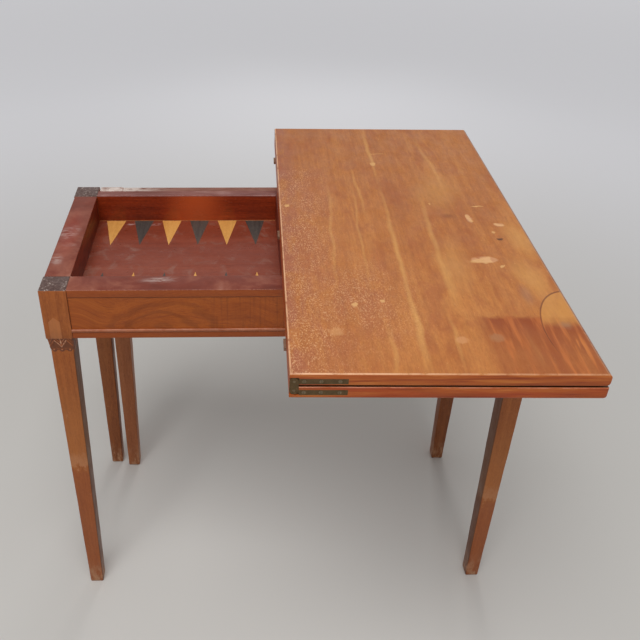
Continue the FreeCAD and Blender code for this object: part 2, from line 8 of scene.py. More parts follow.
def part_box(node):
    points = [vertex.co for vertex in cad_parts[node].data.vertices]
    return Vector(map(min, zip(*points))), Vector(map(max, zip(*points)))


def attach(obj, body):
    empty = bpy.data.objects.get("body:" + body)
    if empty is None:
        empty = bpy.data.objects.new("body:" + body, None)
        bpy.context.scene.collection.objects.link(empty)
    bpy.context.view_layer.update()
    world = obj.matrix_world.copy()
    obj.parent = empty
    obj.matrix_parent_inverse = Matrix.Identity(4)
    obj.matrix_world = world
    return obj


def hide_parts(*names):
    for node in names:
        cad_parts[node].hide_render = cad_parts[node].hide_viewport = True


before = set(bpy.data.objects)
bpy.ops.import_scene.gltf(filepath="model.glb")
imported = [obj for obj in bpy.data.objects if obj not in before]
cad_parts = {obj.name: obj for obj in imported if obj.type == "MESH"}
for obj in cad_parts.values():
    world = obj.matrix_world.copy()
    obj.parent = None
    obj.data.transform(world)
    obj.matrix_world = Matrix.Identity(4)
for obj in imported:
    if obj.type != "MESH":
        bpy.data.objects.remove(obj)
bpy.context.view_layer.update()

# Corner legs. Each is one stick of solid mahogany: a square block that takes the rails' tenons, a neck
# hollowed under it, and a shaft planed to a taper on its two inner faces. Edges and feet are worn soft.
mm = 0.001
frame_top = 719.0
rim = frame_top * mm
leg_block = 43.5
apron_bottom = 626.0
neck_foot = 600.0
neck_curve = 2.74
leg_inset = 4.0
neck_step = 1.6
leg_top_width = 37.6
foot_width = 26.0
arris_angle = math.radians(38)


def fill(inputs, values):
    """A node's inputs, by number or name: linked to values that are sockets, set to those that aren't."""
    for key, value in values.items():
        if isinstance(value, bpy.types.NodeSocket):
            value.id_data.links.new(value, inputs[key])
        else:
            inputs[key].default_value = value


def add(kind, *values, tree=None, give=0, **named):
    """One output of a new shader node, in the tree of the sockets that feed it.

    Values go to its inputs in order, or by name with a capital; small letters name the node's settings."""
    if tree is None:
        given = (*values, *named.values())
        tree = next(value.id_data for value in given if isinstance(value, bpy.types.NodeSocket))
    node = tree.nodes.new("ShaderNode" + kind)
    for key in [key for key in named if key.islower()]:
        setattr(node, key, named.pop(key))
    fill(node.inputs, {**dict(enumerate(values)), **named})
    return node.outputs[give]


def tone(red, green, blue):
    """A paint-chart colour, 0 to 255, as the linear light that the shader takes."""
    share = np.array([red, green, blue]) / 255
    return tuple(np.where(share < 0.04045, share / 12.92, ((share + 0.055) / 1.055) ** 2.4)) + (1.0,)


def calc(operation, *values):
    """One step of arithmetic on shader values."""
    return add("Math", *values, operation=operation)


def times(value, *factors):
    """The product of a value and its factors."""
    for factor in factors:
        value = calc("MULTIPLY", value, factor)
    return value


def lay(under, over, share, how="MIX"):
    """One colour laid over another by a share from 0 to 1."""
    return add("MixRGB", share, under, over, blend_type=how)


def stain(colour, paint, *shares):
    """A paint-chart colour laid over another by the product of its shares."""
    return lay(colour, tone(*paint), times(*shares))


def cloud(place, stretch, detail=4.0, rough=0.5, warp=0.0):
    """Noise over a place stretched by cycles per metre along each axis."""
    stretched = add("VectorMath", place, stretch, operation="MULTIPLY")
    return add("TexNoise", Vector=stretched, Scale=1.0, Detail=detail, Roughness=rough, Distortion=warp)


def ramp(value, low, high, start, end):
    """A straight line from start at low to end at high, level beyond them."""
    return add("MapRange", value, low, high, start, end)


def rise(value, low, high):
    """0 below low, 1 above high and a smooth step between; low above high turns it round."""
    return add("MapRange", value, low, high, 0.0, 1.0, interpolation_type="SMOOTHSTEP")


def band(value, start, full, fading, end):
    """1 from full to fading, with a smooth step up from start and another down to end."""
    return times(rise(value, start, full), rise(value, end, fading))


def tones(value, *stops):
    """A colour read off a row of stops, each a share and a paint-chart colour."""
    colour = add("ValToRGB", value)
    elements = colour.node.color_ramp.elements
    while len(elements) < len(stops):
        elements.new(1.0)
    for element, (share, *paint) in zip(elements, stops):
        element.position = share
        element.color = tone(*paint)
    return colour


def coat(colour, mask, grain, *stops):
    """Tones read off a grain, laid over a colour by a mask."""
    return lay(colour, tones(grain, *stops), mask)


def axes(place):
    """The x, y and height of a place."""
    return add("SeparateXYZ", place).node.outputs[:]


def finish_of(name):
    """A new material, the inputs of its shader and the place of a point on the object."""
    finish = bpy.data.materials.new(name)
    finish.use_nodes = True
    tree = finish.node_tree
    return finish, tree.nodes["Principled BSDF"].inputs, add("TexCoord", tree=tree, give="Object")


def wood(name, run, deep, middle, light, streak=150.0, slow=9.0, pore=0.45, gloss=0.42, mottling=0.25,
         marks=None, turn=None):
    """Mahogany: slow clouds and long streaks set the tone, fine dark pores and bump follow the grain."""
    finish, inputs, place = finish_of(name)
    if turn is not None:
        place = turn(place)
    drawn = lambda fine, long: tuple(long if axis == run else fine for axis in "XYZ")
    broad = cloud(place, drawn(slow, slow / 4), 3, 0.5, 0.7)
    lines = cloud(place, drawn(streak, streak / 30), 5, 0.62, 0.3)
    mottle = cloud(place, drawn(330.0, 150.0), 3, 0.6)
    share = lay(lay(broad, lines, 0.5), mottle, mottling)
    colour = tones(share, (0.34, *deep), (0.5, *middle), (0.66, *light))
    pores = cloud(place, drawn(1500.0, 40.0), 3, 0.6)
    colour = lay(colour, tone(*deep), times(rise(pores, 0.54, 0.68), pore), "MULTIPLY")
    haze = cloud(place, drawn(38.0, 22.0), 4, 0.6)
    rough = ramp(haze, 0.3, 0.7, gloss - 0.1, gloss + 0.12)
    relief = pores
    if marks is not None:
        colour, rough, relief = marks(place, colour, rough, relief)
    bump = add("Bump", Strength=0.18, Distance=0.0004, Height=relief)
    fill(inputs, {"Base Color": colour, "Roughness": rough, "Normal": bump, "Specular IOR Level": 0.35})
    return finish


def joined(*columns):
    """Arrays of like shape as the columns of one."""
    return np.stack(columns, axis=-1)


def mesh_of(name, points, faces):
    """A mesh from points in millimetres and, for each face, the numbers of its points."""
    mesh = bpy.data.meshes.new(name)
    mesh.from_pydata((points.reshape(-1, 3) * mm).tolist(), [], faces)
    return mesh


def set_up(name, data):
    """A new object in the scene."""
    item = bpy.data.objects.new(name, data)
    bpy.context.scene.collection.objects.link(item)
    return item


def skin(name, *runs):
    """A closed skin over each run of rings: a ring joins the next, and a flat face closes each end."""
    points, faces, first = [], [], 0
    for rings in runs:
        count, around = rings.shape[:2]
        index = first + np.arange(count * around).reshape(count, around)
        ahead = np.roll(index, -1, axis=1)
        sides = joined(index[:-1], ahead[:-1], ahead[1:], index[1:]).reshape(-1, 4)
        faces += sides.tolist() + [index[0, ::-1].tolist(), index[-1].tolist()]
        points.append(rings.reshape(-1, 3))
        first += count * around
    return mesh_of(name, np.concatenate(points), faces)


def stand(name, mesh, finish, body, slot, *nodes):
    """Puts a finished mesh in the scene, smooth except at its arrises, on its body and for its nodes."""
    mesh.shade_smooth()
    mesh.set_sharp_from_angle(angle=arris_angle)
    piece = set_up(name, mesh)
    mesh.materials.append(finish)
    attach(piece, body)
    if nodes:
        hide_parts(*nodes)


def millimetres(box):
    """The low and high corners of a CAD box, in millimetres."""
    return [np.array(corner) / mm for corner in box]


def outer_corner(box, x_side, y_side):
    """The corner of a leg's box that points out of the table, in plan."""
    low, high = millimetres(box)
    return high[0] if x_side > 0 else low[0], high[1] if y_side > 0 else low[1]


def square_rings(low, high, radius, height, turns=5):
    """Rings of a square stick: four corner centres a radius inside, and a quarter round about each."""
    angle = np.radians((np.arange(4)[:, None] * 90 + np.linspace(0, 90, turns)[None]).ravel())
    side_x = np.repeat([1, -1, -1, 1], turns)
    side_y = np.repeat([1, 1, -1, -1], turns)
    middle, half = (low + high) / 2, (high - low) / 2 - radius[:, None]
    x = middle[:, :1] + side_x * half[:, :1] + radius[:, None] * np.cos(angle)
    y = middle[:, 1:] + side_y * half[:, 1:] + radius[:, None] * np.sin(angle)
    return joined(x, y, np.broadcast_to(height[:, None], x.shape))


def neck_place(height):
    """Inset and width of the neck: a share that rises by a power up the hollow, from shaft to block."""
    share = np.clip((height - neck_foot) / (apron_bottom - neck_foot), 0, 1) ** neck_curve
    inset = leg_inset - (leg_inset - neck_step) * share
    return inset, leg_top_width + (leg_block - 2 * neck_step - leg_top_width) * share


def leg_rings(outer, side):
    """Inset and width by height: taper below, hollow neck, block above, measured in from the outer faces."""
    foot = [0, 0.6, 1.8, 4]
    shaft = np.concatenate([foot, np.linspace(14, 585, 40), np.linspace(592, apron_bottom, 15)])
    inset, neck_width = neck_place(shaft)
    tapered = foot_width + (leg_top_width - foot_width) * shaft / neck_foot
    width = np.where(shaft < neck_foot, tapered, neck_width)
    worn = np.interp(shaft, foot, [1.6, 0.8, 0.25, 0])
    head = np.array([0, 0.35, 1.0, 20, 45, 70, 91.6, 92.4, 92.8, 93.0])
    ease = np.array([0.9, 0.3, 0, 0, 0, 0, 0, 0.2, 0.5, 1.0])
    height = np.concatenate([shaft, head + apron_bottom])
    inset = np.concatenate([inset + worn, ease])
    width = np.concatenate([width - 2 * worn, leg_block - 2 * ease])
    wave = 0.45 * np.sin(height * 0.031 + outer[0]) + 0.3 * np.sin(height * 0.083 + outer[1])
    radius = np.where(height < apron_bottom, 2.0 + wave, 1.1 + wave / 3)
    edge = np.array(outer) - inset[:, None] * np.array(side)
    other = edge - width[:, None] * np.array(side)
    return square_rings(np.minimum(edge, other), np.maximum(edge, other), radius, height)


ghost_foot = (-0.3905, -0.1561, 0.632)
ghost_peak = 0.0365
ghost_half_width = 0.0093


def leg_marks(place, colour, rough, relief):
    """End grain on the tops, pale knocks, worn feet, and the ghost of an old patch on the front left block.

    The ghost is a gable: under two slopes of 45 degrees that meet at its peak, and between two walls."""
    height = axes(place)[2]
    knocks = cloud(place, (120, 120, 45), 5, 0.7)
    colour = stain(colour, (202, 140, 96), rise(knocks, 0.64, 0.72), 0.4)
    colour = stain(colour, (176, 128, 94), rise(height, 0.075, 0.004), rise(knocks, 0.42, 0.6))
    rings = cloud(place, (230, 230, 20), 4, 0.7)
    ends = rise(height, rim - 0.0007, rim - 0.0001)
    colour = coat(colour, ends, rings, (0.4, 74, 50, 44), (0.6, 104, 82, 76), (0.68, 196, 184, 172))
    across, inward, up = axes(add("VectorMath", place, ghost_foot, operation="SUBTRACT"))
    across = calc("ABSOLUTE", across)
    roof = rise(calc("ADD", across, up), ghost_peak + 0.001, ghost_peak - 0.001)
    wall = rise(across, ghost_half_width + 0.0005, ghost_half_width - 0.0005)
    colour = stain(colour, (210, 140, 88), roof, wall, rise(inward, 0.004, 0.002), 0.35)
    return colour, rough, relief


outer_face = -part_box("leg_front_left")[0][0]
taper = (leg_top_width - foot_width) / neck_foot
inner_line = outer_face - (leg_inset + foot_width) * mm
polish_lines = ((-1, 0.366), (1, 0.262))


def front_leg_marks(place, colour, rough, relief):
    """Polish worn golden above a ragged line and redder below it on each front leg; painted shade on inner
    faces.
    """
    x, _, height = axes(place)
    stray = cloud(place, (110, 110, 60), 5, 0.7)
    ragged = calc("ADD", height, times(stray, 0.08))
    for side, line in polish_lines:
        here = rise(times(x, side), 0.0, 0.01)
        gold = band(ragged, line - 0.004, line + 0.014, line + 0.1, line + 0.26)
        colour = stain(colour, (184, 120, 64), here, gold, 0.3)
        pale = band(ragged, line, line + 0.012, line + 0.015, line + 0.05)
        colour = stain(colour, (196, 140, 100), here, pale, 0.4)
        colour = stain(colour, (140, 70, 40), here, rise(ragged, line + 0.006, line - 0.012), 0.36)
    # Painted shade: the inner faces of the shafts, found along their taper, are darkened.
    lean = calc("ADD", calc("ABSOLUTE", x), times(height, taper))
    inner = rise(lean, inner_line + 0.0018, inner_line + 0.0006)
    shaft = rise(height, neck_foot * mm, neck_foot * mm - 0.01)
    colour = stain(colour, (58, 40, 26), inner, shaft, 0.65)
    return leg_marks(place, colour, rough, relief)


leg_wood = wood("leg_mahogany", "Z", (138, 71, 27), (166, 92, 39), (184, 110, 52), marks=front_leg_marks)
# Painted shade: the rear legs take a darker copy of the leg mahogany because they stand in shade under the
# top.
shaded_rear_leg_wood = wood("rear_leg_mahogany_painted_shade", "Z", (110, 56, 22), (136, 74, 33), (154, 90, 44), marks=leg_marks)
for front, y_side, stick_wood in (("front", -1, leg_wood), ("rear", 1, shaded_rear_leg_wood)):
    for side, x_side in (("left", -1), ("right", 1)):
        node = "leg_" + front + "_" + side
        outer = outer_corner(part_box(node), x_side, y_side)
        mesh = skin("corner_" + node, leg_rings(outer, (x_side, y_side)))
        stand("corner_" + node, mesh, stick_wood, "frame", "leg_wood", node)


# Carved collars on the necks of the front legs: overlapping pointed leaves with a bud between them, cut
# into the solid of the leg. The hollows are darkened and the ridges laid pale: partly dirt and wear,
# partly painted shade and painted highlight.
collar_top = 625.6
collar_foot = 597.0
collar_clear = 0.35
collar_proud = 3.2
collar_hub_share = 0.45
ridge_height = 1.8


def collar_relief(across, down):
    """Height of the carving on one face: pointed leaves at its middle and corners over a scalloped edge.

    Each leaf is a raised V with a smaller V inside it and a midrib, and lobes stand below the points. Past
    the edge the sleeve sinks into the leg."""
    side = np.abs(across)
    leaf = np.minimum(side, 1 - side)
    below = down - 0.62 + leaf
    rims = np.exp(-(below / 0.07) ** 2) + 0.75 * np.exp(-((below + 0.25) / 0.06) ** 2)
    midrib = 1.1 * np.exp(-(leaf / 0.06) ** 2) * np.clip((0.58 - down) / 0.12, 0, 1)
    outer_leaf = np.where(side < 0.5, 1.0, 0.65)
    lobes = 0.8 * np.exp(-((down - 0.82) / 0.07) ** 2) * np.cos(3 * np.pi * side) ** 2
    edge = np.clip((1.08 - 0.2 * (1 - np.abs(np.cos(1.5 * np.pi * across))) - down) / 0.16, 0, 1)
    return (0.35 + outer_leaf * np.maximum(rims, midrib) + lobes) * edge ** 0.7 - 0.5 * (1 - edge)


def collar_rings(outer, side):
    """A sleeve round the neck: its square face moved out by the relief, and closed inside the leg's solid."""
    per_face, rows = 56, 44
    down = np.linspace(0, 1, rows)
    height = collar_top + (collar_foot - collar_top) * down
    inset, width = neck_place(height)
    middle = np.array(outer) - (inset + width / 2)[:, None] * np.array(side)
    across = np.tile(np.linspace(-1, 1, per_face, endpoint=False), 4)
    face = np.repeat(np.arange(4), per_face)
    normal = joined(np.cos(face * np.pi / 2), np.sin(face * np.pi / 2))
    tangent = joined(-normal[:, 1], normal[:, 0])
    relief = collar_relief(across[None], down[:, None])
    room = np.minimum(inset[:, None] - collar_clear, collar_proud)
    proud = np.minimum(relief * (0.55 + 0.75 * down[:, None] * (1.5 - down[:, None])), room)
    half = width[:, None] / 2 + proud
    out = half - 1.1 * np.abs(across)[None] ** 10
    flat = out[..., None] * normal + (half * across[None])[..., None] * tangent + middle[:, None]
    sleeve = np.concatenate([flat, np.broadcast_to(height[:, None, None], flat.shape[:2] + (1,))], axis=-1)
    hub = joined(middle[:, 0], middle[:, 1], height)[:, None]
    caps = sleeve * (1 - collar_hub_share) + hub * collar_hub_share
    return np.concatenate([caps[:1], sleeve, caps[-1:]])[::-1]


def carving_marks(place, colour, rough, relief):
    """Hollows dark and ridges pale, read from the carving's own height on the mesh: partly dirt and wear,
    partly painted shade and painted highlight.
    """
    depth = add("Attribute", tree=place.id_data, give="Fac", attribute_name="ridge")
    worn_and_highlit = rise(cloud(place, (260, 260, 260), 4, 0.65), 0.36, 0.58)
    # Painted shade in the hollows, partly dirt, then a painted highlight on the ridges, partly wear.
    colour = stain(colour, (86, 48, 28), rise(depth, 0.48, 0.2), 0.66)
    colour = stain(colour, (220, 176, 142), rise(depth, 0.5, 0.68), worn_and_highlit, 0.75)
    return colour, rough, relief


carved_wood = wood("carved_mahogany", "Z", (124, 62, 30), (156, 84, 42), (176, 104, 58), marks=carving_marks)
for side, x_side in (("left", -1), ("right", 1)):
    outer = outer_corner(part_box("leg_front_" + side), x_side, -1)
    rings = collar_rings(outer, (x_side, -1))
    mesh = skin("collar_" + side, rings)
    down = (collar_top - rings[..., 2]) / (collar_top - collar_foot)
    across = np.tile(np.linspace(-1, 1, rings.shape[1] // 4, endpoint=False), 4)
    heights = collar_relief(across[None], down) / ridge_height
    ridge = mesh.attributes.new("ridge", "FLOAT", "POINT")
    ridge.data.foreach_set("value", heights.ravel().astype(np.float32))
    stand("collar_" + side, mesh, carved_wood, "frame", "leg_wood")


# Front and side rails. Mahogany boards tenoned into the leg blocks: a top band, a veneered panel sunk
# below it and a lower band, with their tops forming the rim of the well. Arrises are eased by wear.
rail_thickness = 43.5
band_face = 1.5
panel_face = 2.5
band_foot = 705.0
bead_low = 637.5
bead_high = 643.5
bead_back = 5.5
fillet, bead_foot, bead_top = band_foot * mm, bead_low * mm, bead_high * mm
lap_foot = 708.0
play = 0.1
cut_past = 5.0
endless = 1000.0
leg_low, leg_high = millimetres(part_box("leg_front_left"))
rear_low = millimetres(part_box("leg_rear_left"))[0]
half_length, front_face, half_span = -leg_low[0], leg_low[1], -leg_high[0]


def eased(corners, radii, steps=4):
    """A closed outline with each corner rounded: a quadratic curve from one side to the other about it."""
    corners, radii = np.array(corners, float), np.array(radii, float)[:, None]
    before, after = np.roll(corners, 1, axis=0) - corners, np.roll(corners, -1, axis=0) - corners
    start = corners + radii * before / np.linalg.norm(before, axis=1)[:, None]
    end = corners + radii * after / np.linalg.norm(after, axis=1)[:, None]
    t = np.linspace(0, 1, steps)[None, :, None]
    curve = (1 - t) ** 2 * start[:, None] + 2 * t * (1 - t) * corners[:, None] + t ** 2 * end[:, None]
    return curve.reshape(-1, 2)


def carried(outline, start, inward, stations):
    """An outline of (distance inward, height) carried along the level line square to inward."""
    inward = np.array(inward, float)
    forward = np.cross(inward, [0, 0, 1])
    level = np.array(start, float) + outline[:, :1] * inward + outline[:, 1:] * np.array([0, 0, 1.0])
    return level[None] + np.array(stations, float)[:, None, None] * forward


def box_rings(low, high):
    """The two rings of a plain block, bottom and top."""
    xs, ys = np.array([low[0], high[0], high[0], low[0]]), np.array([low[1], low[1], high[1], high[1]])
    return np.stack([joined(xs, ys, np.full(4, z)) for z in (low[2], high[2])])


def housing(box, foot=None):
    """The cut for a piece let into the rails from above: its box and the play round it, up from its foot."""
    low, high = millimetres(box)
    start = (low[0] - play, low[1] - play, low[2] if foot is None else foot - play)
    return box_rings(start, (high[0] + play, high[1] + play, frame_top + cut_past))


def cut_out(mesh, cutters):
    """The mesh less each cutter's rings skinned as a solid."""
    board = set_up("board", mesh)
    tools = [set_up("tool", skin("tool", rings)) for rings in cutters]
    for tool in tools:
        cut = board.modifiers.new("cut", "BOOLEAN")
        cut.operation, cut.object, cut.solver = "DIFFERENCE", tool, "EXACT"
    shown = board.evaluated_get(bpy.context.evaluated_depsgraph_get())
    result = bpy.data.meshes.new_from_object(shown)
    result.name = mesh.name
    for item in [board] + tools:
        bpy.data.objects.remove(item)
    return result


def ellipse(place, middle, half, turn=0.0):
    """Distance from a middle as a share of the half sizes: 1 on the ellipse, turned by degrees in plan."""
    near = add("Mapping", place, vector_type="TEXTURE", Location=middle,
               Rotation=(0, 0, math.radians(turn)), Scale=half)
    return add("VectorMath", near, operation="LENGTH", give="Value")


def patch(place, x, y, half_x, half_y, turn=0.0, soft=0.35):
    """1 inside an upright ellipse about a point, sizes in millimetres, falling to 0 over its soft rim."""
    reach = ellipse(place, (x * mm, y * mm, 0), (half_x * mm, half_y * mm, endless), turn)
    return rise(reach, 1.0, 1.0 - soft)


def strayed(place, scale, far, detail, rough):
    """The place moved about by a noise, by half of far at most, for ragged or drifting outlines."""
    noise = add("TexNoise", give="Color", Vector=place, Scale=scale, Detail=detail, Roughness=rough)
    offset = add("VectorMath", noise, (0.5, 0.5, 0.5), operation="SUBTRACT")
    return add("VectorMath", place, add("VectorMath", offset, far, operation="MULTIPLY"), operation="ADD")


def rim_marks(place, colour, rough, relief):
    """Rail tops: dark red polish under a grey haze with a few pale smears, the arris rubbed light.

    Below are the shadow of the top band, a browner lower band and the red polish of the well's walls."""
    x, y, height = axes(place)
    haze = cloud(place, (11, 11, 11), 5, 0.62, 0.6)
    bloom = tones(haze, (0.36, 98, 38, 24), (0.5, 116, 50, 36), (0.62, 140, 78, 60), (0.74, 164, 114, 98))
    smears = rise(cloud(place, (50, 160, 50), 4, 0.65, 0.8), 0.38, 0.62)
    for *spot, share in ((-392, 34, 22, 34, -20, 0.75), (-396, -60, 15, 24, 10, 0.6),
                         (-384, -10, 16, 10, 0, 0.35), (-221, -125, 42, 13, 4, 0.6)):
        bloom = stain(bloom, (196, 176, 168), patch(place, *spot, 0.9), smears, share)
    bloom = stain(bloom, (164, 56, 40), patch(place, -390, 30, 24, 120, 0, 0.9), 0.3)
    colour = lay(colour, bloom, times(rise(height, rim - 0.0016, rim - 0.0003), 0.94))
    knocks = cloud(place, (300, 300, 300), 5, 0.7)
    arris = band(height, rim - 0.0018, rim - 0.0010, rim - 0.0006, rim - 0.0001)
    colour = stain(colour, (206, 150, 120), arris, 0.3, rise(knocks, 0.45, 0.62))
    shadow = band(height, fillet - 0.0018, fillet - 0.0006, fillet, fillet + 0.0006)
    colour = stain(colour, (52, 22, 12), shadow, 0.8)
    colour = stain(colour, (134, 56, 16), rise(height, bead_foot + 0.0001, bead_foot - 0.0005), 0.5)
    sides = rise(calc("ABSOLUTE", x), (half_span + 1.2) * mm, (half_span + 0.2) * mm)
    inside = times(sides, rise(y, (leg_high[1] - 1.2) * mm, (leg_high[1] - 0.2) * mm))
    wall = times(inside, rise(height, rim - 0.0004, rim - 0.0012))
    polish = cloud(place, (40, 40, 160), 5, 0.6)
    colour = coat(colour, wall, polish, (0.36, 88, 26, 12), (0.6, 122, 42, 20))
    return colour, lay(rough, (0.42, 0.42, 0.42, 1), wall), relief


def apron_turn(place):
    """The front panel's veneer was cut near a crotch: its grain is swirled by a slow warp of the place."""
    return strayed(place, 7.0, (0.14, 0.0, 0.11), 1.0, 0.4)


def front_marks(place, colour, rough, relief):
    """An eddy in the veneer left of the middle, upright grain at its right, and dark joints at the blocks."""
    place = add("TexCoord", tree=place.id_data, give="Object")
    x, _, height = axes(place)
    panel = band(height, bead_top - 0.0001, bead_top + 0.0003, fillet - 0.0004, fillet)
    reach = ellipse(place, (-0.215, 0, 0.648), (0.115, endless, 0.058))
    drift = cloud(place, (13, 1, 34), 3, 0.5)
    wound = calc("ADD", reach, times(drift, 0.7))
    figure = rise(calc("SINE", times(wound, 19.0)), -0.1, 0.9)
    colour = stain(colour, (104, 48, 16), rise(reach, 1.3, 0.5), figure, panel, 0.3)
    upright = rise(cloud(place, (210, 1, 7), 4, 0.62, 0.2), 0.48, 0.64)
    colour = stain(colour, (110, 52, 18), upright, panel, rise(x, -0.165, -0.115), 0.36)
    colour = stain(colour, (124, 54, 24), rise(height, fillet - 0.0004, fillet + 0.0002), 0.4)
    blocks = rise(calc("ABSOLUTE", x), (half_span - 1.3) * mm, (half_span - 0.3) * mm)
    colour = stain(colour, (48, 22, 12), blocks, 0.75)
    return rim_marks(place, colour, rough, relief)


outline = eased(
    [(band_face, apron_bottom), (rail_thickness, apron_bottom), (rail_thickness, frame_top),
     (band_face, frame_top), (band_face, band_foot), (panel_face, band_foot), (panel_face, bead_high),
     (bead_back, bead_high), (bead_back, bead_low), (band_face, bead_low)],
    [0.8, 0.8, 1.4, 1.4, 0.35, 0.35, 0.2, 0.2, 0.2, 0.5])
front_wood = wood("front_rail_veneer", "X", (142, 65, 18), (168, 84, 26), (186, 100, 34), streak=70.0,
                  slow=14.0, marks=front_marks, turn=apron_turn)
side_wood = wood("side_rail_veneer", "Y", (140, 67, 21), (164, 85, 30), (184, 105, 42), marks=rim_marks)
rail_cutters = [housing(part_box("pivot_bearer"), lap_foot), housing(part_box("well_bar"))]
front_run = np.linspace(-half_span, half_span, 30)
side_run = np.linspace(leg_high[1], rear_low[1], 12)
front_line = ((0, front_face, 0), (0, 1, 0))
side_lines = {"left": ((-half_length, 0, 0), (1, 0, 0), -side_run[::-1]),
              "right": ((half_length, 0, 0), (-1, 0, 0), side_run)}
mesh = skin("front_rail_board", carried(outline, *front_line, front_run))
stand("front_rail_board", cut_out(mesh, rail_cutters), front_wood, "frame", "rail_wood", "front_rail")
for side, line in side_lines.items():
    mesh = skin(side + "_rail_board", carried(outline, *line))
    stand(side + "_rail_board", mesh, side_wood, "frame", "rail_wood", side + "_rail")


# Beads. A half-round mahogany moulding glued into a groove above the lower band of each of these rails,
# with a painted highlight laid pale on the upper half of its round.
bead_reach = 1.8
bead_tail = bead_back - 0.2


def bead_outline():
    """A half round between two heights in front of the band, closed by its tail in the groove."""
    angle = np.radians(np.linspace(90, 270, 17))
    middle, half = (bead_low + bead_high) / 2, (bead_high - bead_low) / 2
    crown = joined(band_face + bead_reach * np.cos(angle), middle + half * np.sin(angle))
    return np.concatenate([crown, [[bead_tail, bead_low], [bead_tail, bead_high]]])


def bead_painted_highlight(place, colour, rough, relief):
    """A painted highlight: the upper half of the round laid pale in places."""
    patchiness = cloud(place, (60, 60, 60), 5, 0.7)
    # Painted highlight on the lit upper half of the round, broken up by a noise.
    crown = rise(axes(place)[2], bead_foot + 0.0020, bead_foot + 0.0037)
    return stain(colour, (214, 158, 130), crown, rise(patchiness, 0.3, 0.6), 0.22), rough, relief


bead_wood = wood("bead_mahogany", "X", (124, 58, 28), (152, 80, 42), (176, 100, 58), gloss=0.3,
                 marks=bead_painted_highlight)
bead_lines = {"front": (*front_line, np.linspace(-half_span, half_span, 12)), **side_lines}
for side, line in bead_lines.items():
    mesh = skin(side + "_bead_moulding", carried(bead_outline(), *line))
    stand(side + "_bead_moulding", mesh, bead_wood, "frame", "rail_wood", side + "_bead")


# Inner rear rail. A plain mahogany board tenoned into the rear legs, its front face polished as the far
# wall of the well, its top worn where the gate leg knocks past it.
low, high = millimetres(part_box("rear_rail"))
rail_middle = (low[1] + high[1]) / 2


def rear_marks(place, colour, rough, relief):
    """A plum-brown top with a light haze, a painted reflection as an orange stretch on the face, and a bare
    back.
    """
    x, y, height = axes(place)
    # Painted reflection: an orange-lit stretch on the face that forms the well's far wall.
    colour = stain(colour, (204, 92, 44), band(x, -0.25, -0.18, -0.17, -0.10), 0.6)
    back = rise(y, (rail_middle - 2) * mm, (rail_middle + 2) * mm)
    unpolished = cloud(place, (5, 60, 150), 5, 0.6, 0.3)
    colour = coat(colour, back, unpolished, (0.36, 112, 60, 34), (0.6, 144, 84, 50))
    worn = cloud(place, (16, 60, 30), 5, 0.6, 0.3)
    top = times(rise(height, rim - 0.0025, rim - 0.0004), 0.9)
    colour = coat(colour, top, worn, (0.36, 108, 56, 48), (0.58, 134, 84, 77), (0.75, 168, 128, 120))
    return colour, lay(rough, (0.55, 0.55, 0.55, 1), back), relief


rear_wood = wood("rear_rail_mahogany", "X", (106, 34, 14), (138, 50, 21), (166, 74, 33), gloss=0.2,
                 marks=rear_marks)
outline = eased([(low[1], low[2]), (high[1], low[2]), (high[1], high[2]), (low[1], high[2])],
                [0.8, 0.8, 1.0, 1.4])
mesh = skin("rear_rail_board", carried(outline, (0, 0, 0), (0, 1, 0), front_run))
stand("rear_rail_board", cut_out(mesh, rail_cutters), rear_wood, "frame", "rear_wood", "rear_rail")


# Fixed half of the outer rear rail. Plain secondary wood behind the inner rail, cut into fingers at its
# left end for the gate's wooden knuckle, with an iron pin down through them.
def dress(finish, *nodes):
    """A carried-over solid takes the finish on its own material slots."""
    for node in nodes:
        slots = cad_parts[node].data.materials
        slots.clear()
        slots.append(finish)


def old_metal(name, dark, light, rough):
    """Metal clouded from a dark to a light tone, rougher and raised where it is light."""
    finish, inputs, place = finish_of(name)
    bloom = cloud(place, (240, 240, 240), 5, 0.65)
    bump = add("Bump", Strength=0.25, Distance=0.0003, Height=bloom)
    fill(inputs, {"Base Color": tones(bloom, (0.35, *dark), (0.68, *light)), "Metallic": 0.85, "Normal": bump,
                  "Roughness": ramp(bloom, 0.3, 0.7, rough, rough + 0.25)})
    return finish


def outer_marks(place, colour, rough, relief):
    """Tops rubbed pale at the left, where the leaf slides over the gate."""
    x, _, height = axes(place)
    top = rise(height, rim - 0.0035, rim - 0.0022)
    worn = cloud(place, (30, 90, 30), 5, 0.66, 0.4)
    colour = coat(colour, times(top, 0.85), worn, (0.36, 112, 62, 48), (0.6, 142, 96, 82))
    colour = stain(colour, (216, 202, 192), top, rise(x, -0.22, -0.31), rise(worn, 0.36, 0.54), 0.8)
    return colour, rough, relief


outer_wood = wood("outer_rail_mahogany", "X", (116, 62, 32), (146, 84, 48), (166, 104, 64), gloss=0.5,
                  marks=outer_marks)
dress(outer_wood, "rear_fixed_rail")
dark_iron = old_metal("dark_iron", (58, 52, 48), (112, 92, 76), 0.4)
dress(dark_iron, "knuckle_pin")


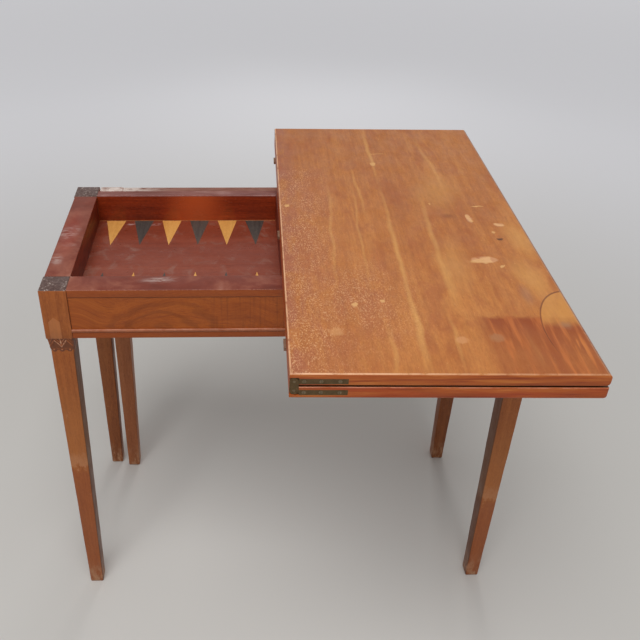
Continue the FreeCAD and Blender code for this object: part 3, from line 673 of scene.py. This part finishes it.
# Well. A mahogany floor board in the rails' grooves, with pointed pieces of yellow and stained wood and
# thin light strings let in flush, and a bar across the middle that parts the two halves.
def scuffed(place, colour, rough, relief):
    """Grey scuffs and fine scratches from the counters, and three smears by the far wall."""
    streaks = rise(cloud(place, (60, 190, 60), 4, 0.65, 0.6), 0.4, 0.6)
    for spot in ((-301, 164, 15, 6), (-254, 162, 14, 6), (-340, 168, 16, 5)):
        colour = stain(colour, (200, 170, 166), patch(place, *spot, 12, 0.9), streaks, 0.8)
    scuff = cloud(place, (34, 30, 30), 6, 0.68, 0.8)
    colour = stain(colour, (150, 112, 98), rise(scuff, 0.5, 0.72), 0.45)
    scratch = cloud(place, (900, 60, 60), 4, 0.7, 1.2)
    return stain(colour, (196, 168, 150), rise(scratch, 0.68, 0.75), 0.3), rough, relief


def point_scuffs(place, colour, rough, relief):
    """Grey scratches over the inlaid pieces."""
    scratch = cloud(place, (420, 120, 60), 5, 0.7, 1.0)
    return stain(colour, (150, 124, 98), rise(scratch, 0.62, 0.74), 0.35), rough, relief


floor_wood = wood("well_floor_mahogany", "X", (118, 49, 30), (134, 60, 39), (148, 73, 50), streak=60.0,
                  gloss=0.34, marks=scuffed)
bar_wood = wood("well_bar_mahogany", "Y", (110, 48, 30), (146, 76, 50), (166, 96, 68), marks=rim_marks)
light_inlay = wood("light_inlay", "Y", (200, 138, 66), (220, 158, 82), (232, 176, 100), streak=260.0,
                   pore=0.25, marks=point_scuffs)
dark_inlay = wood("stained_inlay", "Y", (48, 42, 40), (72, 66, 62), (94, 86, 78), streak=260.0, pore=0.3,
                  marks=point_scuffs)
string_inlay = wood("string_inlay", "X", (142, 86, 48), (168, 108, 64), (190, 132, 88), marks=point_scuffs)
dress(floor_wood, "well_floor")
dress(bar_wood, "well_bar")
dress(light_inlay, "points_light")
dress(string_inlay, "well_strings")
dress(dark_inlay, "points_dark")


# Swivel bearer. A mahogany cross-piece lapped into the front and inner rear rails and held by four iron
# screws; the stud of the top turns in its bore.
bearer_wood = wood("bearer_mahogany", "Y", (104, 56, 34), (140, 82, 52), (164, 106, 70), gloss=0.5)
dress(bearer_wood, "pivot_bearer")
dress(dark_iron, "bearer_screws")


# Gate. A rail hung on the wooden knuckle, tenoned into a fifth leg that swings out at the rear to hold the
# open leaf. The leg's head is thinned to close flat behind the inner rail.
dress(outer_wood, "gate_rail")
gate_low, gate_high = millimetres(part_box("gate_leg"))
gate_rail_low = millimetres(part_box("gate_rail"))[0]
shaft_top = 625.0


def gate_rings():
    """The gate leg as two runs of square rings: a tapered shaft up to a shoulder, and the thin head on it."""
    foot, shoulder = [0.5, 1.2, 2.4, 5], [623.6, 624.4, 624.8, shaft_top]
    shaft = np.concatenate([foot, np.linspace(15, 610, 30), shoulder])
    width = np.interp(shaft, [foot[0], shaft_top], [foot_width, leg_top_width])
    worn = np.interp(shaft, foot, [1.5, 0.8, 0.3, 0]) + np.interp(shaft, shoulder, [0, 0.25, 0.55, 1.1])
    low = joined(gate_low[0] + worn, gate_low[1] + worn)
    high = joined(gate_low[0] + width - worn, gate_low[1] + width - worn)
    lift = np.array([-1.2, 1.0, 20, 50, 80, 92.2, 93.0, 93.4, 93.7])
    ease = np.array([0.8, 0, 0, 0, 0, 0, 0.2, 0.5, 1.0])
    head_low = joined(gate_low[0] + ease, gate_rail_low[1] + ease)
    head_high = joined(gate_high[0] - ease, gate_high[1] - ease)
    stick = square_rings(low, high, 1.8 + 0.4 * np.sin(shaft * 0.05), shaft)
    return stick, square_rings(head_low, head_high, np.full(len(lift), 1.2), lift + shaft_top)


def gate_marks(place, colour, rough, relief):
    """A leg's marks, and its top rubbed pale by the leaf."""
    colour, rough, relief = leg_marks(place, colour, rough, relief)
    worn = cloud(place, (60, 60, 60), 5, 0.7)
    top = rise(axes(place)[2], rim - 0.0012, rim - 0.0004)
    return coat(colour, top, worn, (0.36, 150, 112, 98), (0.56, 216, 200, 190)), rough, relief


gate_wood = wood("gate_leg_mahogany", "Z", (124, 66, 34), (150, 86, 48), (170, 104, 62), marks=gate_marks)
mesh = skin("swing_leg", *gate_rings())
stand("swing_leg", mesh, gate_wood, "gate", "leg_wood", "gate_leg")


# Swivel. An iron plate let into the lower leaf carries a stud, which passes through the bearer and is
# held by a washer and a nut below it.
dress(dark_iron, "pivot_plate", "pivot_plate_screws", "pivot_stud", "pivot_washer", "pivot_nut")


# Lower leaf. A mahogany board with mitred lippings, its show face down when folded; straps are let into its
# ends, a swivel plate into its underside, and three tongues into its hinge edge.
leaf_middle = 184.812
leaf_turn = math.radians(88.94)
leaf_half_length = 421.0
leaf_half_width = 207.0
corner_radius = 2.0
show_round = 3.0
inner_round = 1.5
free_round = 8.0
lower_free_round = 2.0
rolling_round = 3.906
strap_reach = 76.0
strap_width = 8.5
strap_depth = 3.0
lower_strap_drop = 3.0
hinge_setback = 6.2
lap_reach = 12.5
lap_depth = 1.6
eye_reach = 5.74
eye_sides = 24
tongue_places = (-318.0, 0.0, 318.0)
tongue_half_length = 11.0
tongue_half_height = 2.5
plate_along, plate_across = 108.65, 78.18
plate_half_length, plate_half_width = 40.0, 25.0
lower_low, lower_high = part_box("lower_leaf")
lower_show, lower_inner = lower_low[2], lower_high[2]


def leaf_place(points):
    """Leaf coordinates (along, across, height) turned about the upright and set over the frame."""
    along, across = points[..., 0], points[..., 1]
    cosine, sine = math.cos(leaf_turn), math.sin(leaf_turn)
    x = leaf_middle + cosine * along - sine * across
    y = sine * along + cosine * across
    return joined(x, y, points[..., 2])


def quarter_drop(distance, radius):
    """How far a rounded edge has fallen at a distance in from it: a quarter circle."""
    inside = np.clip(radius - distance, 0, radius)
    return radius - np.sqrt(np.maximum(radius ** 2 - inside ** 2, 0))


def grid_lines(half, spacing):
    """Places across a board, close together where its edges round and evenly spread between."""
    edge = np.array([0, 0.08, 0.35, 0.8, 1.4, 2.0, 3.0, 3.9, 5.2, 6.6, 8, 10, 13])
    middle = np.linspace(edge[-1] - half, half - edge[-1], int(2 * half / spacing))[1:-1]
    return np.concatenate([edge - half, middle, (half - edge)[::-1]])


def quads(index):
    """The four-sided faces of a grid of point numbers."""
    return joined(index[:-1, :-1], index[:-1, 1:], index[1:, 1:], index[1:, :-1]).reshape(-1, 4)


def leaf_mesh(name, inner, show, free_inner_round, spacing, dents):
    """A board as two sheets on one grid, each falling at its edges as a quarter round, and a wall between.

    The free edge has a larger round, and rows near it are shortened to follow its blunted corners."""
    along = grid_lines(leaf_half_length, spacing)
    across = grid_lines(leaf_half_width, spacing)
    free = across + leaf_half_width
    inside = np.clip(corner_radius - free, 0, corner_radius)
    reach = leaf_half_length - corner_radius + np.sqrt(corner_radius ** 2 - inside ** 2)
    a = along[None] * (reach / leaf_half_length)[:, None]
    b = np.broadcast_to(across[:, None], a.shape)
    end_gap = np.maximum(leaf_half_length - np.abs(a), 0)
    free_gap = np.broadcast_to(free[:, None], a.shape)
    hinge_gap = leaf_half_width - b
    corner = np.hypot(np.clip(corner_radius - end_gap, 0, None), np.clip(corner_radius - free_gap, 0, None))
    edge_gap = np.where(corner > 0, np.maximum(corner_radius - corner, 0), np.minimum(end_gap, free_gap))
    side = 1 if show > inner else -1
    ease = quarter_drop(np.minimum(edge_gap, hinge_gap), show_round)
    show_sheet = show - side * np.maximum(ease, quarter_drop(free_gap, free_round)) - side * dents(a, b)
    fall = np.maximum(quarter_drop(edge_gap, inner_round), quarter_drop(hinge_gap, rolling_round))
    inner_sheet = inner + side * np.maximum(fall, quarter_drop(free_gap, free_inner_round))
    upper, lower = (show_sheet, inner_sheet) if side > 0 else (inner_sheet, show_sheet)
    rows, columns = a.shape
    points = np.concatenate([joined(a, b, upper), joined(a, b, lower)])
    index = np.arange(2 * rows * columns).reshape(2, rows, columns)
    loop = lambda s: np.concatenate([s[0, :-1], s[:-1, -1], s[-1, :0:-1], s[:0:-1, 0]])
    top, bottom = loop(index[0]), loop(index[1])
    wall = joined(bottom, np.roll(bottom, -1), np.roll(top, -1), top)
    faces = np.concatenate([quads(index[0]), quads(index[1])[:, ::-1], wall])
    return mesh_of(name, leaf_place(points), faces.tolist())


def hinge_cutters(inner, side, drop):
    """At each end: the strap's slot, the step under the link and the round seat of the strap's eye."""
    cutters = []
    line, eye = leaf_half_width - hinge_setback, inner + side * hinge_setback
    middle = eye + side * drop
    for end in (-1, 1):
        face, clear = end * leaf_half_length, end * (leaf_half_length + cut_past)
        slot_floor = face - end * strap_depth
        spans = [
            (slot_floor, leaf_half_width - strap_reach, line,
             middle - strap_width / 2, middle + strap_width / 2),
            (face - end * lap_depth, leaf_half_width - lap_reach, leaf_half_width + cut_past,
             inner + side * lap_reach, inner - side * cut_past),
        ]
        for back, b0, b1, z0, z1 in spans:
            low = (min(back, clear), b0, min(z0, z1))
            high = (max(back, clear), b1, max(z0, z1))
            cutters.append(leaf_place(box_rings(low, high)))
        angle = np.radians(np.arange(eye_sides) * 360 / eye_sides)
        ring = joined(line + eye_reach * np.cos(angle), eye + eye_reach * np.sin(angle))
        ends = sorted((slot_floor, clear))
        tube = [np.concatenate([np.full((eye_sides, 1), x), ring], axis=-1) for x in ends]
        cutters.append(leaf_place(np.stack(tube)))
    return cutters


def tongue_cutters(middle, depth, side_play, height_play):
    """A slot in the hinge edge at each of the three places of the tongues."""
    half, lift = tongue_half_length + side_play, tongue_half_height + height_play
    lows = [(place - half, leaf_half_width - depth, middle - lift) for place in tongue_places]
    highs = [(place + half, leaf_half_width + cut_past, middle + lift) for place in tongue_places]
    return [leaf_place(box_rings(low, high)) for low, high in zip(lows, highs)]


def leaf_turned(place):
    """The leaf's own place: across from its middle, then along its length."""
    return add("Mapping", place, vector_type="TEXTURE", Location=(leaf_middle * mm, 0, 0),
               Rotation=(0, 0, leaf_turn - math.pi / 2))


def edge_look(place, colour, low, high):
    """Lipping seen on the edges: redder and darker than the faces, in long streaks."""
    streaks = cloud(place, (9, 9, 190), 5, 0.55, 0.6)
    edge = band(axes(place)[2], low, low + 0.0008, high - 0.0008, high)
    return coat(colour, edge, streaks, (0.34, 138, 58, 20), (0.52, 176, 87, 33), (0.7, 196, 113, 48))


def painted_gap_shade(place, colour, from_height, to_height):
    """Painted gap shade between the leaves: black on a margin of the inner face, between two heights next to
    it.
    """
    x, y, height = axes(place)
    across = rise(calc("ABSOLUTE", x), (leaf_half_width - 5.5) * mm, (leaf_half_width - 2.5) * mm)
    along = rise(calc("ABSOLUTE", y), (leaf_half_length - 5.5) * mm, (leaf_half_length - 2.5) * mm)
    margin = calc("MAXIMUM", across, along)
    return stain(colour, (34, 18, 12), margin, rise(height, from_height, to_height), 0.85)


def lower_leaf_marks(place, colour, rough, relief):
    """Red edges with the upper arris rubbed pink, and painted gap shade on the margin of the inner face."""
    colour = edge_look(place, colour, lower_show + 0.0006, lower_inner - 0.0005)
    height = axes(place)[2]
    stained = rise(cloud(place, (8, 4, 60), 4, 0.55, 0.4), 0.36, 0.62)
    edges = band(height, lower_show + 0.0003, lower_show + 0.0009, lower_inner - 0.0007, lower_inner - 0.0002)
    colour = stain(colour, (166, 60, 25), stained, edges, 0.55)
    patchiness = rise(cloud(place, (40, 40, 40), 5, 0.7), 0.35, 0.6)
    arris = band(height, lower_inner - 0.0019, lower_inner - 0.0012, lower_inner - 0.0007,
                 lower_inner - 0.0003)
    colour = stain(colour, (220, 150, 122), arris, patchiness, 0.6)
    # Painted shade of the gap between the leaves, along the inner arris.
    colour = painted_gap_shade(place, colour, lower_inner - 0.00032, lower_inner - 0.00012)
    return colour, rough, relief


lower_wood = wood("lower_leaf_veneer", "Y", (148, 78, 36), (176, 100, 50), (196, 122, 68),
                  marks=lower_leaf_marks, turn=leaf_turned)
show, inner = lower_show / mm, lower_inner / mm
mesh = leaf_mesh("lower_board", inner, show, lower_free_round, 8.0, lambda a, b: 0 * a)
plate_low, plate_high = millimetres(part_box("pivot_plate"))
plate_seat = box_rings(
    (plate_along - plate_half_length, plate_across - plate_half_width, plate_low[2] - cut_past),
    (plate_along + plate_half_length, plate_across + plate_half_width, plate_high[2]))
cutters = hinge_cutters(inner, -1, lower_strap_drop)
cutters += tongue_cutters((inner + show) / 2, depth=6.0, side_play=0.0, height_play=0.0)
cutters.append(leaf_place(plate_seat))
stand("lower_board", cut_out(mesh, cutters), lower_wood, "top", "leaf_wood", "lower_leaf",
      "lower_leaf_lipping")
tongue_wood = wood("tongue_boxwood", "X", (104, 72, 54), (136, 102, 80), (160, 128, 104))
dress(tongue_wood, "alignment_tongues")


# Hinges. Brass straps let into the ends of both leaves with countersunk screws, and a round-ended link
# over their eyes, pinned to each, so that the leaves fold back on one another. Darkened by age.
brass = old_metal("aged_brass", (88, 71, 48), (114, 92, 63), 0.46)
rubbed_brass = old_metal("rubbed_brass", (108, 93, 70), (140, 123, 98), 0.4)
dress(brass, "lower_hinge_straps", "upper_hinge_straps", "hinge_links")
dress(rubbed_brass, "lower_hinge_screws", "upper_hinge_screws", "hinge_pins")


# Upper leaf. The same board, show face up: figured mahogany veneer, sun-bleached and worn, with lost chips,
# a let-in repair near the right front corner, and its rounded arris laid bright, partly worn and partly a
# painted highlight. Painted shade darkens the top of the free edge's rounding and the gap under the leaf.
upper_strap_drop = 0.4
upper_low, upper_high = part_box("upper_leaf")
upper_inner, upper_show = upper_low[2], upper_high[2]
pale_streaks = (
    (-20, 291, 6, 170, 0, 0.5), (-22, -150, 6, 380, -1, 0.5), (44, -57, 7, 220, -2, 0.4),
    (-122, -40, 5, 280, -2, 0.4), (-27, -322, 8, 130, -4, 0.5), (-75, -60, 4, 300, -1, 0.3),
    (43, -195, 11, 95, -2, 0.35), (-70, -370, 6, 90, -2, 0.4), (20, -345, 5, 100, -3, 0.35),
    (95, 250, 6, 160, 3, 0.35), (-60, 120, 5, 150, 1, 0.3), (120, -360, 7, 60, 0, 0.3))
chips = ((165, -16, 10, 5, -25), (149, -44, 5, 4, 0), (135, -154, 7, 4, 30), (119, 6, 4, 17, 8),
         (-194, 50, 4, 7, 0), (-18, 234, 6, 9, 0), (-4, 284, 20, 1.6, 0), (60, 60, 2, 5, 0),
         (144, 52, 14, 2, 4), (-107, -262, 6, 5, 0), (-66, -253, 4, 4, 0))
spots = ((28, -347, 12, 10, 0.6, (212, 150, 98)), (78, -342, 13, 12, 0.5, (172, 124, 86)),
         (-140, -330, 12, 12, 0.5, (212, 154, 100)), (153, -68, 7, 4, 0.85, (70, 38, 24)))
deep_chips = ((112, -133, 21, 9), (165, -16, 9, 5), (119, 6, 4, 16))
chip_depth = 0.5


def upper_leaf_marks(place, colour, rough, relief):
    """Marks laid on the show face in leaf coordinates, across and along from its middle.

    Patches are ellipses in millimetres: bleached streaks, worn grit towards the free edge, a redder zone
    and a let-in piece at the near right, lost chips and spots. Edges come last, then the arris laid bright,
    partly worn and partly a painted highlight, painted shade on the free edge's rounding, and painted shade
    of the gap between the leaves."""
    across, along, height = axes(place)
    inner_colour = stain(colour, (170, 94, 45), 0.6)
    ragged = strayed(place, 120.0, (11 * mm, 11 * mm, 0.0), 3.0, 0.6)
    drifting = strayed(place, 5.0, (30 * mm, 30 * mm, 0.0), 3.0, 0.6)
    torn_across, torn_along, _ = axes(ragged)
    blotch = cloud(place, (30, 12, 1), 5, 0.62, 0.6)
    colour = stain(colour, (162, 88, 44), rise(blotch, 0.46, 0.68), 0.6)
    gold = calc("MAXIMUM", patch(drifting, 85, 110, 62, 120, -12, 0.95),
                patch(drifting, 60, -150, 40, 120, -4, 0.95))
    colour = stain(colour, (204, 144, 78), gold, 0.5)
    for *streak, share in pale_streaks:
        colour = stain(colour, (222, 166, 94), patch(drifting, *streak, 1.0), share)
    glow = calc("MAXIMUM", patch(drifting, 186, -70, 34, 85, 8, 0.9),
                patch(drifting, 168, -190, 34, 90, 8, 0.9))
    colour = stain(colour, (212, 152, 82), glow, 0.6)
    colour = stain(colour, (132, 70, 36), patch(ragged, 84, 15, 15, 12, 0, 0.8), 0.5)
    colour = stain(colour, (158, 112, 86), patch(drifting, 148, -236, 13, 38, 6, 0.9), 0.5)
    worn = calc("MAXIMUM", rise(across, -0.09, -0.17), patch(drifting, -105, -250, 150, 190, 0, 1.0))
    worn = times(worn, rise(along, 0.25, 0.17))
    colour = stain(colour, (172, 104, 68), worn, rise(blotch, 0.3, 0.6), 0.55)
    colour = stain(colour, (150, 84, 70), rise(across, -0.165, -0.203), rise(blotch, 0.34, 0.56), 0.45)
    grains = cloud(place, (470, 270, 1), 4, 0.78)
    bunched = times(worn, rise(cloud(place, (34, 20, 1), 4, 0.65), 0.32, 0.54))
    colour = stain(colour, (230, 180, 134), bunched, rise(grains, 0.52, 0.62), 0.62)
    colour = stain(colour, (134, 68, 38), worn, rise(grains, 0.47, 0.37), 0.5)
    mottle = ramp(cloud(place, (150, 45, 1), 5, 0.7), 0.3, 0.7, 0.0, 1.0)
    colour = lay(colour, mottle, 0.1, "OVERLAY")
    grit = cloud(place, (330, 260, 1), 3, 0.75)
    colour = stain(colour, (228, 178, 126), rise(grit, 0.66, 0.72), 0.5)
    colour = stain(colour, (112, 58, 34), rise(grit, 0.33, 0.28), 0.4)
    near = times(rise(torn_along, -0.288, -0.299), rise(torn_across, 0.048, 0.085))
    colour = stain(colour, (142, 64, 25), near, ramp(along, -0.38, -0.30, 0.55, 0.92))
    ochre = rise(cloud(place, (60, 5, 1), 4, 0.6, 0.4), 0.5, 0.66)
    colour = stain(colour, (204, 118, 58), near, ochre, 0.6)
    rest = patch(drifting, 182, -362, 15, 52, 6, 0.9)
    colour = stain(colour, (208, 128, 58), rest, rise(ochre, 0.0, 0.6), 0.5)
    ring = ellipse(place, (0.207, -0.335, 0), (0.060, 0.111, endless))
    inlet = times(rise(ring, 1.0, 0.96), rise(torn_along, -0.320, -0.298))
    colour = stain(colour, (208, 146, 74), inlet, ramp(blotch, 0.35, 0.65, 0.72, 0.4))
    colour = stain(colour, (166, 126, 94), patch(ragged, 181, -312, 13, 12, 0, 0.9), 0.5)
    line = band(ring, 0.972, 0.985, 1.0, 1.012)
    colour = stain(colour, (104, 54, 28), line, rise(along, -0.385, -0.345), 0.7)
    lost = times(patch(ragged, 115, -135, 33, 11, 10), rise(torn_across, 0.1230, 0.1218))
    for chip in chips:
        lost = calc("MAXIMUM", lost, patch(ragged, *chip))
    colour = stain(colour, (220, 170, 112), lost, 0.85)
    for *spot, share, paint in spots:
        colour = stain(colour, paint, patch(ragged, *spot, 8, 0.5), share)
    shown = rise(height, upper_inner + 0.0071, upper_inner + 0.0091)
    lost = times(lost, shown)
    colour = edge_look(place, lay(inner_colour, colour, shown), upper_inner, upper_show - 0.0012)
    patchiness = rise(cloud(place, (45, 45, 45), 5, 0.7), 0.3, 0.52)
    arris = band(height, upper_show - 0.0020, upper_show - 0.0012, upper_show - 0.0003, upper_show)
    # Painted highlight on the rounded arris of the show face, partly wear, strongest on one side across the
    # leaf.
    colour = stain(colour, (232, 178, 136), arris, patchiness, ramp(across, -0.13, 0.06, 0.95, 0.4))
    # Painted shade: the top of the rounding along the free edge is darkened.
    right = times(rise(across, 0.1995, 0.2030), rise(along, -0.4190, -0.4150))
    colour = stain(colour, (108, 56, 29), right, shown, 0.55)
    # Painted shade of the gap between the leaves, along the inner arris.
    colour = painted_gap_shade(place, colour, upper_inner + 0.0011, upper_inner + 0.0007)
    rough = calc("ADD", rough, times(lost, 0.3))
    return colour, rough, calc("SUBTRACT", relief, times(lost, 2.0))


def upper_dents(a, b):
    """Depth of the lost veneer: a shallow flat-bottomed ellipse for each of the larger chips."""
    depth = 0 * a
    for across, along, half_across, half_along in deep_chips:
        reach = np.hypot((-b - across) / half_across, (a - along) / half_along)
        depth = depth + chip_depth * np.clip((1.1 - reach) / 0.3, 0, 1)
    return depth


upper_wood = wood("upper_leaf_veneer", "Y", (162, 93, 45), (183, 113, 56), (200, 132, 68), streak=110.0,
                  slow=7.0, pore=0.3, mottling=0.2, marks=upper_leaf_marks, turn=leaf_turned)
inner, show = upper_inner / mm, upper_show / mm
mesh = leaf_mesh("upper_board", inner, show, free_round, 3.4, upper_dents)
cutters = hinge_cutters(inner, 1, upper_strap_drop)
cutters += tongue_cutters((inner + show) / 2, depth=2.2, side_play=0.5, height_play=1.0)
stand("upper_board", cut_out(mesh, cutters), upper_wood, "upper_leaf", "leaf_wood", "upper_leaf",
      "upper_leaf_lipping")


# Floor, light and camera. A pale grey studio floor, a broad soft lamp above and in front on the left, and a
# camera at the photograph's angle, with the small shift that its framing needs.
floor_half, floor_ahead, floor_lines = 9000.0, 3000.0, 7


def seen_directly(tree):
    """1 on rays of the camera, and of mirrors and glass, 0 on the rays that light the object."""
    ray = add("LightPath", tree=tree).node.outputs
    seen = calc("MAXIMUM", ray["Is Camera Ray"], ray["Is Glossy Ray"])
    return calc("MAXIMUM", seen, ray["Is Transmission Ray"])


floor_grid = np.linspace(-floor_half, floor_half, floor_lines)
xs, ys = np.meshgrid(floor_grid, floor_grid + floor_ahead)
faces = quads(np.arange(xs.size).reshape(xs.shape))
mesh = mesh_of("studio_floor", joined(xs, ys, 0 * xs), faces.tolist())
floor = set_up("studio_floor", mesh)
paper, inputs, place = finish_of("studio_paper")
plain = tones(cloud(place, (1.2, 1.2, 1.2), 3, 0.5), (0.3, 186, 184, 181), (0.7, 194, 192, 189))
reach = add("VectorMath", place, operation="LENGTH", give="Value")
far, further = rise(reach, 0.7, 3.0), rise(reach, 2.5, 8.0)
paler = lay(tone(206, 204, 200), tone(238, 238, 242), far)
seen = seen_directly(place.id_data)
glow = calc("ADD", times(far, 0.17), times(further, 0.16))
fill(inputs, {"Base Color": lay(plain, paler, seen), "Roughness": 0.9, "Specular IOR Level": 0.1,
              "Emission Color": tone(240, 240, 244), "Emission Strength": times(seen, glow)})
mesh.materials.append(paper)

world = bpy.data.worlds.new("studio")
bpy.context.scene.world = world
world.use_nodes = True
sky = world.node_tree.nodes["Background"].inputs
daylight = ramp(seen_directly(world.node_tree), 0.0, 1.0, 0.33, 0.6)
fill(sky, {"Color": (1.0, 0.99, 0.98, 1), "Strength": daylight})


def lamp(name, place, size, power, spread=180, shines=True, aim=(0, 0, 0.6)):
    """A square soft lamp turned from its place towards the point it lights; a grid narrows its spread."""
    light = bpy.data.lights.new(name, "AREA")
    light.size, light.energy, light.spread = size, power, math.radians(spread)
    holder = set_up(name, light)
    turn = (Vector(aim) - Vector(place)).to_track_quat("-Z", "Y").to_matrix().to_4x4()
    holder.matrix_world = Matrix.Translation(place) @ turn
    holder.visible_camera = False
    holder.visible_glossy = shines


lamp("softbox", (-0.45, -1.7, 3.9), size=2.2, power=95.0)
lamp("fill", (-1.2, -2.6, 1.9), size=1.6, power=3.0)
lamp("back_light", (0.6, 4.6, 1.4), size=1.4, power=7.0, spread=50, shines=False)

camera_place = np.array([-93.468, -1191.60, 1385.56])
pitch, yaw, roll = math.radians(33.774), math.radians(-1.935), math.radians(0.725)
focal, frame_size = 783.393, 640.0
middle_x, middle_y = 261.134, 303.703
right = np.array([math.cos(yaw), math.sin(yaw), 0])
forward = np.array([-math.sin(yaw), math.cos(yaw), 0])
optical = forward * math.cos(pitch) - np.array([0, 0, math.sin(pitch)])
down = -forward * math.sin(pitch) - np.array([0, 0, math.cos(pitch)])
view_right = math.cos(roll) * right - math.sin(roll) * down
view_down = math.sin(roll) * right + math.cos(roll) * down
eye = bpy.data.cameras.new("photograph")
eye.sensor_width = 36.0
eye.lens = focal / frame_size * eye.sensor_width
eye.shift_x = (frame_size / 2 - middle_x) / frame_size
eye.shift_y = (middle_y - frame_size / 2) / frame_size
camera = set_up("photograph", eye)
turned = Matrix(joined(view_right, -view_down, -optical).tolist()).to_4x4()
camera.matrix_world = Matrix.Translation(Vector(camera_place * mm)) @ turned
bpy.context.scene.camera = camera
bpy.context.scene.view_settings.view_transform = "Standard"
